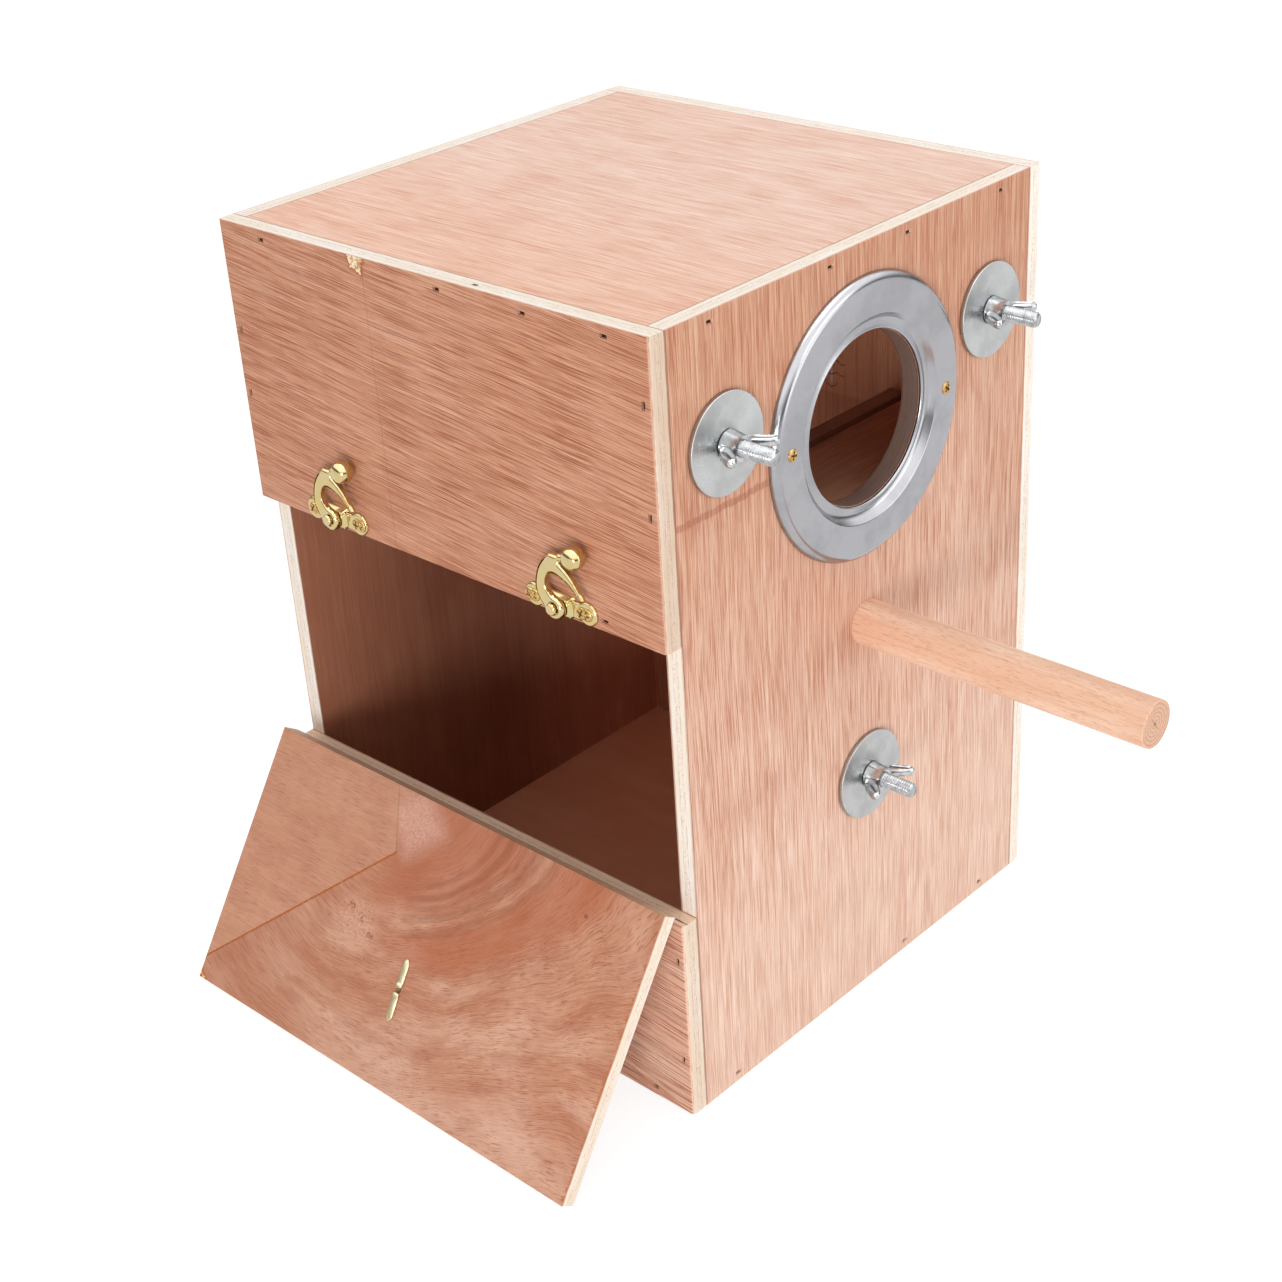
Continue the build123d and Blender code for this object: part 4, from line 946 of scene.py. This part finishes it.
def screw_head(centre, out, up, radius, height, turn=0.0, slot=(0.36, 0.66), deep=0.7):
    """Domed head with a cross recess; the faces of the recess come back second."""
    out, up = Vector(out), Vector(up)
    side = up.cross(out)
    wide, reach = slot[0], slot[1] * radius
    seg, steps = 72, 18

    def off_arm(x, y):
        """Distance from the middle line of the nearer arm of the cross."""
        return min(abs(x) if abs(y) < reach else 9, abs(y) if abs(x) < reach else 9)

    verts, faces, dark = [], [], []
    a, b = up * cos(turn) + side * sin(turn), side * cos(turn) - up * sin(turn)
    rows = [(radius, 0.0), (radius, height * 0.25)]
    rows += [(radius * (1 - k / steps), None) for k in range(1, steps + 1)]
    for r, h in rows[:-1]:
        for j in range(seg):
            t = 2 * pi * j / seg
            x, y = r * cos(t), r * sin(t)
            w = h if h is not None else height * (0.25 + 0.75 * sqrt(max(0.0, 1 - (r / radius) ** 2)))
            if h is None and r < reach:
                w -= deep * max(0.0, min(1.0, (wide - off_arm(x, y)) / 0.12)) * min(1.0, (reach - r) / 0.3 + 1)
            verts.append(Vector(centre) + a * x + b * y + out * w)
    verts.append(Vector(centre) + out * (height - deep))
    for k in range(len(rows) - 2):
        for j in range(seg):
            l = (j + 1) % seg
            faces.append((k * seg + j, k * seg + l, (k + 1) * seg + l, (k + 1) * seg + j))
    top = (len(rows) - 2) * seg
    faces += [(top + j, top + (j + 1) % seg, len(verts) - 1) for j in range(seg)]
    for i, f in enumerate(faces):
        mid = sum((verts[q] for q in f), Vector()) / len(f) - Vector(centre)
        x, y = mid.dot(a), mid.dot(b)
        if off_arm(x, y) < wide + 0.02 and mid.dot(out) > height * 0.26 and sqrt(x * x + y * y) < reach:
            dark.append(i)
    return verts, faces, dark


def screws(name, heads, mat, node, recess=DARK):
    """One object of a node's screw heads, with a second material in their recesses as painted shade."""
    verts, faces, dark = [], [], []
    for v, f, d in heads:
        dark += [i + len(faces) for i in d]
        n = len(verts)
        verts += v
        faces += [tuple(i + n for i in q) for q in f]
    o = piece(name, verts, faces, mat, "box", [node], "brass", angle=40, weighted=False)
    o.data.materials.append(recess)
    for i in dark:
        o.data.polygons[i].material_index = 1


def clusters(node, key):
    """Middles of a node's separate solids, told apart by `key`."""
    found = {}
    for v in frame["nodes"][node].data.vertices:
        found.setdefault(key(v.co * 1000), []).append(v.co * 1000)
    return [[(min(p[i] for p in pts) + max(p[i] for p in pts)) / 2 for i in range(3)] for pts in found.values()]


ring_screws = zip(sorted(clusters("entrance_ring_screws", lambda p: p.x > 0)), (12, 38))
screws("ring_screw_heads", [screw_head((x, -107.35, z), FRONT, UP, 2.35, 0.65, turn=radians(t), deep=0.45)
                            for (x, y, z), t in ring_screws], SCREW, "entrance_ring_screws")
latch_screws = enumerate(sorted(clusters("latch_screws", lambda p: round(p.y / 8)), key=lambda p: p[1]))
screws("latch_screw_heads", [screw_head((-105.2, y, z), NEAR, UP, 2.3, 0.9, turn=radians(17 * k + 8))
                             for k, (x, y, z) in latch_screws], HEAD, "latch_screws", recess=AMBER)

PULL_UP = 68.0  # the pull, up the door from its hinge edge
LEG_WIDE = 1.5


def leg(sign, lean):
    """One leg of the split pin, bent over flat on the door's inner face; the path holds (run along the face, height
    over it) and each place on it has its half width."""
    path = [(-0.35, -3.0), (-0.30, -0.8)]
    path += [(0.3 - 0.6 * cos(radians(a)), 0.8 * sin(radians(a)) - 0.05) for a in range(0, 121, 20)]
    path += [(1.0, 0.42), (1.6, 0.38), (2.6, 0.40), (4.0, 0.40), (6.0, 0.40), (8.0, 0.40), (9.0, 0.38), (9.7, 0.34)]
    path += [(10.3, 0.28), (10.6, 0.2)]
    width = [1.0, 1.2, 1.3, 1.4, 1.5, 1.55, 1.55, 1.55, 1.55, 1.5, 1.5, 1.5, 1.5, 1.52, 1.54, 1.46, 1.1, 0.6, 0.2]
    verts, faces = [], []
    ring = 12
    for k, (l, h) in enumerate(path):
        a, b = path[max(0, k - 1)], path[min(len(path) - 1, k + 1)]
        dl, dh = b[0] - a[0], b[1] - a[1]
        size = sqrt(dl * dl + dh * dh) or 1.0
        nl, nh = -dh / size, dl / size
        for j in range(ring):
            t = 2 * pi * j / ring
            across = width[k] * cos(t)
            rise = (0.50 if sin(t) > 0 else 0.22) * sin(t) * (width[k] / LEG_WIDE if k > 14 else 1.0)
            ll, hh = l + nl * rise, h + nh * rise
            run = PULL_UP + sign * (1.55 + ll)
            verts.append(DOOR_SKIN + Vector(FRONT) * (across + lean * ll) + DOOR_UP * run - DOOR_OUT * (BOARD + hh))
    for k in range(len(path) - 1):
        for j in range(ring):
            l = (j + 1) % ring
            faces.append((k * ring + j, k * ring + l, (k + 1) * ring + l, (k + 1) * ring + j))
    faces.append(tuple((len(path) - 1) * ring + j for j in range(ring)))
    return verts, faces if sign > 0 else [f[::-1] for f in faces]


BOLTS = {"upper_left": (-72.2, 254.7), "upper_right": (72.2, 254.7), "lower": (0, 95.0)}


def faceted_knob(bm):
    """Presses the front of the ball knob nearly flat, as on a cast one."""
    for v in bm.verts:
        out = -v.co.x - FACE
        if out > 7.9:
            v.co.x = -FACE - (7.9 + (out - 7.9) * 0.6)


# Split pin: the node's own eye and shaft, less what the legs replace
source = frame["nodes"]["pull_split_pin"]
bm = bmesh.new()
bm.from_mesh(source.data)
bmesh.ops.remove_doubles(bm, verts=bm.verts, dist=2e-6)
lost = [v for v in bm.verts if (v.co * 1000 - DOOR_SKIN).dot(DOOR_OUT) < -7.25]
bmesh.ops.delete(bm, geom=lost, context="VERTS")
bm.verts.index_update()
shaft = ([v.co * 1000 for v in bm.verts], [tuple(v.index for v in f.verts) for f in bm.faces])
bm.free()
piece("split_pin", *join(shaft, leg(1, 0.03), leg(-1, -0.02)), SPLIT, "door", ["pull_split_pin"], "brass", angle=50,
      weighted=False)

for name in frame["nodes"]:
    if name.startswith("brads"):
        dress(name, BRAD)
    elif name.startswith("latch_base"):
        crowned(name, BRASS, [(NEAR, 105.2, 0.9, 0.55), (NEAR, 106.6, 0.9, 0.6)])
    elif name.startswith(("latch_keeper", "pull_rosette")):
        refine(name, BRASS, bevel=0.35, segments=3)
    elif name.startswith("latch_arm"):
        crowned(name, BRASS, [(NEAR, 109.0, 1.6, 1.2)], shape=faceted_knob)
    elif name.startswith("latch_rivet"):
        refine(name, BRASS, bevel=0.4, segments=3)
    elif name in ("entrance_ring_screws", "latch_screws", "perch", "pull_split_pin"):
        continue
    elif name.startswith("hinge_leaf"):
        refine(name, LEAF, bevel=0.2)
    elif name.startswith("hinge_pin"):
        dress(name, LEAF)
    elif name.startswith(("hinge_screws", "keeper_screws")):
        dress(name, HEAD)
    elif name.startswith(("hinge", "keeper", "pull")):
        dress(name, BRASS)
    elif name.startswith(("inner_washers", "perch_screw")):
        dress(name, BRIGHT)
    elif name.startswith("wing_nut"):
        z = BOLTS[name[9:]][1]
        crowned(name, BRIGHT, [(UP, z + 1.7, 1.5, 1.0), (DOWN, 1.7 - z, 1.5, 1.0)])

# Pressed ring
ring_profile = (
    [(51.2, 0.0)] + arc(47.9, 0.1, 3.3, 0, 90, 14)[1:] + [(45.0, 3.4), (40.5, 3.4)] + arc(37.7, 2.3, 1.1, 90, 126, 7)
    + arc(33.2, 3.4, 3.2, -44, -78, 6) + arc(31.8, 0.55, 0.65, 80, 180, 8) + [(31.15, 0.02)]
)
piece("ring", *lathe(ring_profile, 192, (0, -FACE, ENTRANCE_Z), FRONT), STEEL, "box", ["entrance_ring"], "ring_steel",
      angle=50, weighted=False)


def thread(x, z):
    """A bolt with a cut thread and a hexagon head."""
    seg, step, pitch = 28, 0.125, 1.0
    verts, faces = [], []
    count = int(BOLT_LONG / step) + 1
    for k in range(count):
        h = k * step
        for j in range(seg):
            t = 2 * pi * j / seg
            phase = (h / pitch - j / seg) % 1.0
            ridge = max(0.0, min(1.0, 2.6 * (0.5 - abs(phase - 0.5)) - 0.15))
            r = 2.9 - 0.5 * ridge
            r = min(r, 2.3 + (BOLT_LONG - h) * 0.9)
            verts.append((x + r * cos(t), BOLT_ROOT - h, z + r * sin(t)))
    for k in range(count - 1):
        for j in range(seg):
            l = (j + 1) % seg
            faces.append((k * seg + j, (k + 1) * seg + j, (k + 1) * seg + l, k * seg + l))
    verts.append((x, BOLT_ROOT - BOLT_LONG, z))
    faces += [((count - 1) * seg + j, len(verts) - 1, (count - 1) * seg + (j + 1) % seg) for j in range(seg)]
    base = len(verts)
    for h, r in ((0.0, 5.0), (0.35, 5.77), (3.6, 5.77), (4.0, 5.2)):
        for j in range(6):
            t = pi / 6 + j * pi / 3
            verts.append((x + r * cos(t), BOLT_ROOT + h, z + r * sin(t)))
    for k in range(3):
        for j in range(6):
            l = (j + 1) % 6
            faces.append((base + k * 6 + j, base + k * 6 + l, base + k * 6 + 6 + l, base + k * 6 + 6 + j))
    faces.append(tuple(base + j for j in range(6))[::-1])
    faces.append(tuple(base + 18 + j for j in range(6)))
    return verts, faces


piece("bolts", *join(*[thread(x, z) for x, z in BOLTS.values()]), BOLT, "box", ["mounting_bolts"], "bright_zinc",
      angle=60, weighted=False)
for side, (x, z) in BOLTS.items():
    rim = [(3.2, 0.0), (17.2, 0.0)] + arc(17.2, 0.3, 0.3, -90, 0, 3)[1:] + [(17.5, 1.2)]
    rim += arc(17.2, 1.2, 0.3, 0, 90, 3)[1:] + [(12.0, 1.5), (8.0, 1.5), (3.5, 1.5), (3.2, 1.3)]
    centre = (x, -104.3, z)
    piece("washer_" + side, *lathe(rim, 96, centre, FRONT, closed=True), ZINC, side + "_washer",
          ["outer_washer_" + side], "washer_zinc", at=centre)
